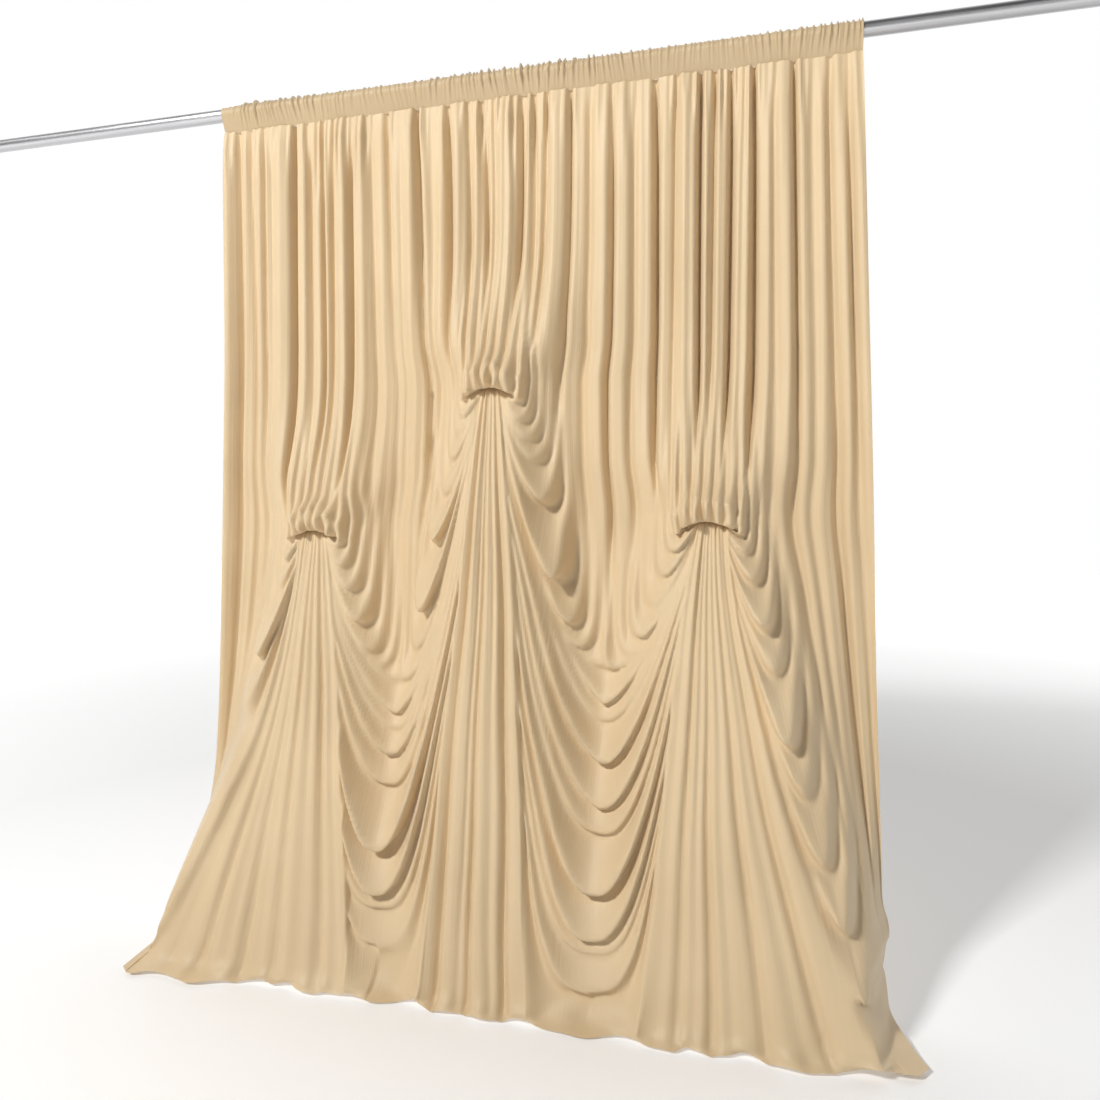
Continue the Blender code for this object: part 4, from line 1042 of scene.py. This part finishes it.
def cloudy_tone(nodes, links, place, shader, light, dark):
    """Two close tones, mixed in soft clouds."""
    cloudy = nodes.new("ShaderNodeTexNoise")
    cloudy.inputs["Scale"].default_value = 3.0
    cloudy.inputs["Detail"].default_value = 4.0
    ramp = nodes.new("ShaderNodeValToRGB")
    ramp.color_ramp.elements[0].position = 0.35
    ramp.color_ramp.elements[0].color = (*dark, 1.0)
    ramp.color_ramp.elements[1].position = 0.65
    ramp.color_ramp.elements[1].color = (*light, 1.0)
    links.new(place.outputs["Object"], cloudy.inputs["Vector"])
    links.new(cloudy.outputs["Fac"], ramp.inputs["Fac"])
    links.new(ramp.outputs["Color"], shader.inputs["Base Color"])


def fine_folds_and_ribs(nodes, links, place, shader):
    """Long narrow wrinkles down the cloth, and over them the ribs of the knit."""
    along = nodes.new("ShaderNodeMapping")
    along.inputs["Scale"].default_value = (95.0, 2.0, 1.0)
    threads = nodes.new("ShaderNodeTexNoise")
    threads.inputs["Scale"].default_value = 1.0
    threads.inputs["Detail"].default_value = 3.0
    threads.inputs["Roughness"].default_value = 0.6
    fine_folds = nodes.new("ShaderNodeBump")
    fine_folds.inputs["Strength"].default_value = 0.28
    fine_folds.inputs["Distance"].default_value = 0.005
    links.new(place.outputs["UV"], along.inputs["Vector"])
    links.new(along.outputs["Vector"], threads.inputs["Vector"])
    links.new(threads.outputs["Fac"], fine_folds.inputs["Height"])
    ribs = nodes.new("ShaderNodeTexWave")
    ribs.inputs["Scale"].default_value = 350.0
    ribs.inputs["Distortion"].default_value = 1.0
    grain = nodes.new("ShaderNodeBump")
    grain.inputs["Strength"].default_value = 0.12
    grain.inputs["Distance"].default_value = 0.0004
    links.new(place.outputs["UV"], ribs.inputs["Vector"])
    links.new(ribs.outputs["Fac"], grain.inputs["Height"])
    links.new(fine_folds.outputs["Normal"], grain.inputs["Normal"])
    links.new(grain.outputs["Normal"], shader.inputs["Normal"])


def knit(name, light, dark):
    """A stretch knit: rather matt, with a soft sheen where it turns away."""
    material, nodes, links, shader = new_material(name)
    place = nodes.new("ShaderNodeTexCoord")
    cloudy_tone(nodes, links, place, shader, light, dark)
    fine_folds_and_ribs(nodes, links, place, shader)
    shader.inputs["Roughness"].default_value = 0.52
    shader.inputs["Specular IOR Level"].default_value = 0.42
    shader.inputs["Sheen Weight"].default_value = 0.24
    shader.inputs["Sheen Roughness"].default_value = 0.4
    shader.inputs["Sheen Tint"].default_value = (1.0, 0.97, 0.93, 1.0)
    return material


# %% Put the knit on the cloth and the pocket
CLOTH_LIGHT, CLOTH_DARK = (0.70, 0.538, 0.332), (0.665, 0.505, 0.306)
# the pocket's two tones are darker than the cloth's: this is painted shade, standing in for the shade of its
# wrinkles, which are too fine for the mesh
POCKET_LIGHT_WITH_PAINTED_SHADE, POCKET_DARK_WITH_PAINTED_SHADE = (0.555, 0.420, 0.252), (0.52, 0.391, 0.231)
cloth.data.materials.append(knit("champagne_knit", CLOTH_LIGHT, CLOTH_DARK))
# the pocket's knit is the same knit, with painted shade in its colour
sleeve.data.materials.append(knit("champagne_knit_pocket_painted_shade", POCKET_LIGHT_WITH_PAINTED_SHADE, POCKET_DARK_WITH_PAINTED_SHADE))
print("knits", cloth.data.materials[0].name, sleeve.data.materials[0].name)

# %% [markdown]
# ## Satin aluminium
# The crossbar is a drawn tube. Drawing leaves fine streaks along it, which show as small changes
# of tone and of shine. A plain grey metal would look like plastic, so a noise that is stretched
# along the bar changes both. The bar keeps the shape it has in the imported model.

# %% The rod's metal


def metal(name):
    """Satin metal with fine streaks along the bar."""
    material, nodes, links, shader = new_material(name)
    place = nodes.new("ShaderNodeTexCoord")
    stretch = nodes.new("ShaderNodeMapping")
    stretch.inputs["Scale"].default_value = (4.0, 160.0, 160.0)
    streaks = nodes.new("ShaderNodeTexNoise")
    streaks.inputs["Scale"].default_value = 1.0
    streaks.inputs["Detail"].default_value = 6.0
    rough = nodes.new("ShaderNodeMapRange")
    rough.inputs["To Min"].default_value = 0.28
    rough.inputs["To Max"].default_value = 0.46
    tone = nodes.new("ShaderNodeValToRGB")
    tone.color_ramp.elements[0].color = (0.46, 0.46, 0.47, 1.0)
    tone.color_ramp.elements[1].color = (0.70, 0.70, 0.71, 1.0)
    links.new(place.outputs["Object"], stretch.inputs["Vector"])
    links.new(stretch.outputs["Vector"], streaks.inputs["Vector"])
    links.new(streaks.outputs["Fac"], rough.inputs["Value"])
    links.new(streaks.outputs["Fac"], tone.inputs["Fac"])
    links.new(rough.outputs["Result"], shader.inputs["Roughness"])
    links.new(tone.outputs["Color"], shader.inputs["Base Color"])
    shader.inputs["Metallic"].default_value = 1.0
    return material


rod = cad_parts["rod"]
rod.data.materials.clear()
rod.data.materials.append(metal("satin_aluminium"))
print("rod in", rod.data.materials[0].name)

# %% [markdown]
# ## Pale floor
# The curtain stands in a bright white room. The floor takes the cloth's shadow, and a single
# plane is enough for that. Further away it glows more and more, so it runs into the white
# behind it, and no edge shows.

# %% Floor
FLOOR_HALF = 15.0            # half its width


def floor_finish():
    material, nodes, links, shader = new_material("pale_floor")
    shader.inputs["Base Color"].default_value = (0.90, 0.90, 0.90, 1.0)
    shader.inputs["Roughness"].default_value = 0.9
    shader.inputs["Emission Color"].default_value = (1.0, 1.0, 1.0, 1.0)
    place = nodes.new("ShaderNodeTexCoord")
    far = nodes.new("ShaderNodeVectorMath")
    far.operation = "LENGTH"
    glow = nodes.new("ShaderNodeMapRange")
    glow.inputs["From Min"].default_value = 2.5
    glow.inputs["From Max"].default_value = 8.0
    glow.inputs["To Min"].default_value = 0.08
    glow.inputs["To Max"].default_value = 0.60
    links.new(place.outputs["Object"], far.inputs[0])
    links.new(far.outputs["Value"], glow.inputs["Value"])
    links.new(glow.outputs["Result"], shader.inputs["Emission Strength"])
    return material


floor_mesh = bpy.data.meshes.new("floor")
bm = bmesh.new()
bmesh.ops.create_grid(bm, x_segments=1, y_segments=1, size=FLOOR_HALF)
bm.to_mesh(floor_mesh)
bm.free()
floor_mesh.materials.append(floor_finish())
floor = in_scene("floor", floor_mesh)
floor.location = TO_ROW
print("floor", 2 * FLOOR_HALF, "m wide")

# %% [markdown]
# ## Light
# Folds show by their shading, so most of the light comes from one side: a lamp high up at the
# front left. It is small, which keeps the creases crisp. A weak lamp from the right lifts the
# darkest folds. The white of the room is a world that is bright for the camera and behind the
# curtain, and darker in front of it, so it doesn't wash the folds out.

# %% Two lamps


def area_light(name, place, target, size, watts):
    """A rectangular lamp at a place, turned towards a target."""
    data = bpy.data.lights.new(name, "AREA")
    data.shape = "RECTANGLE"
    data.size, data.size_y = size
    data.energy = watts
    lamp = in_scene(name, data)
    lamp.location = Vector(place) + TO_ROW
    lamp.rotation_euler = (Vector(target) - Vector(place)).to_track_quat("-Z", "Y").to_euler()
    return lamp


key = area_light("key", (-3.2, -5.9, 6.0), (0.2, 0.0, 1.1), (1.15, 0.85), 560)
fill = area_light("fill", (2.9, -3.4, 3.2), (0.3, 0.0, 0.9), (1.2, 1.2), 9)
print("lamps", key.data.energy, "and", fill.data.energy, "W")

# %% White room


def studio_world():
    """White for the camera. As light it is bright behind the curtain and weak in front of it."""
    world = bpy.data.worlds.new("studio")
    world.use_nodes = True
    nodes, links = world.node_tree.nodes, world.node_tree.links
    sky = nodes["Background"]
    sky.inputs["Color"].default_value = (1.0, 1.0, 1.0, 1.0)
    direction = nodes.new("ShaderNodeTexCoord")
    split = nodes.new("ShaderNodeSeparateXYZ")
    bright = nodes.new("ShaderNodeMapRange")
    bright.inputs["From Min"].default_value = -0.1
    bright.inputs["From Max"].default_value = 0.25
    bright.inputs["To Min"].default_value = 0.05
    bright.inputs["To Max"].default_value = 1.0
    links.new(direction.outputs["Generated"], split.inputs["Vector"])
    links.new(split.outputs["Y"], bright.inputs["Value"])
    seen = nodes.new("ShaderNodeLightPath")
    white = nodes.new("ShaderNodeMath")
    white.operation = "MAXIMUM"
    links.new(bright.outputs["Result"], white.inputs[0])
    links.new(seen.outputs["Is Camera Ray"], white.inputs[1])
    links.new(white.outputs["Value"], sky.inputs["Strength"])
    return world


bpy.context.scene.world = studio_world()
bpy.context.scene.view_settings.view_transform = "Standard"
print("world", bpy.context.scene.world.name)

# %% [markdown]
# ## Camera
# It stands in front of the right half of the curtain at about half its height, looks to the left
# and a little down. Its lens is rather wide, so that the whole curtain is in view.

# %% Camera
CAMERA_AT = (0.715, -2.264, 1.277)
LENS = 27.8                  # millimetres, on a sensor 36 mm wide
LOOKS_DOWN, LOOKS_LEFT = 2.96, 14.85             # degrees
camera_data = bpy.data.cameras.new("camera")
camera_data.sensor_width = 36.0
camera_data.lens = LENS
camera = in_scene("camera", camera_data)
camera.location = Vector(CAMERA_AT) + TO_ROW
camera.rotation_euler = (math.pi / 2 - math.radians(LOOKS_DOWN), 0.0, math.radians(LOOKS_LEFT))
bpy.context.scene.camera = camera
print("camera", [round(value, 3) for value in camera.location])

# %% [markdown]
# ## What each piece is
# The curtain and its pocket are one length of cloth, and nothing on it turns or slides, so both
# pieces ride on the one body. Each stands in for its solid in the imported model. The floor is
# only a stage.

for piece, node in ((cloth, "drape_panel"), (sleeve, "rod_pocket")):
    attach(piece, "root")
    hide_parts(node)
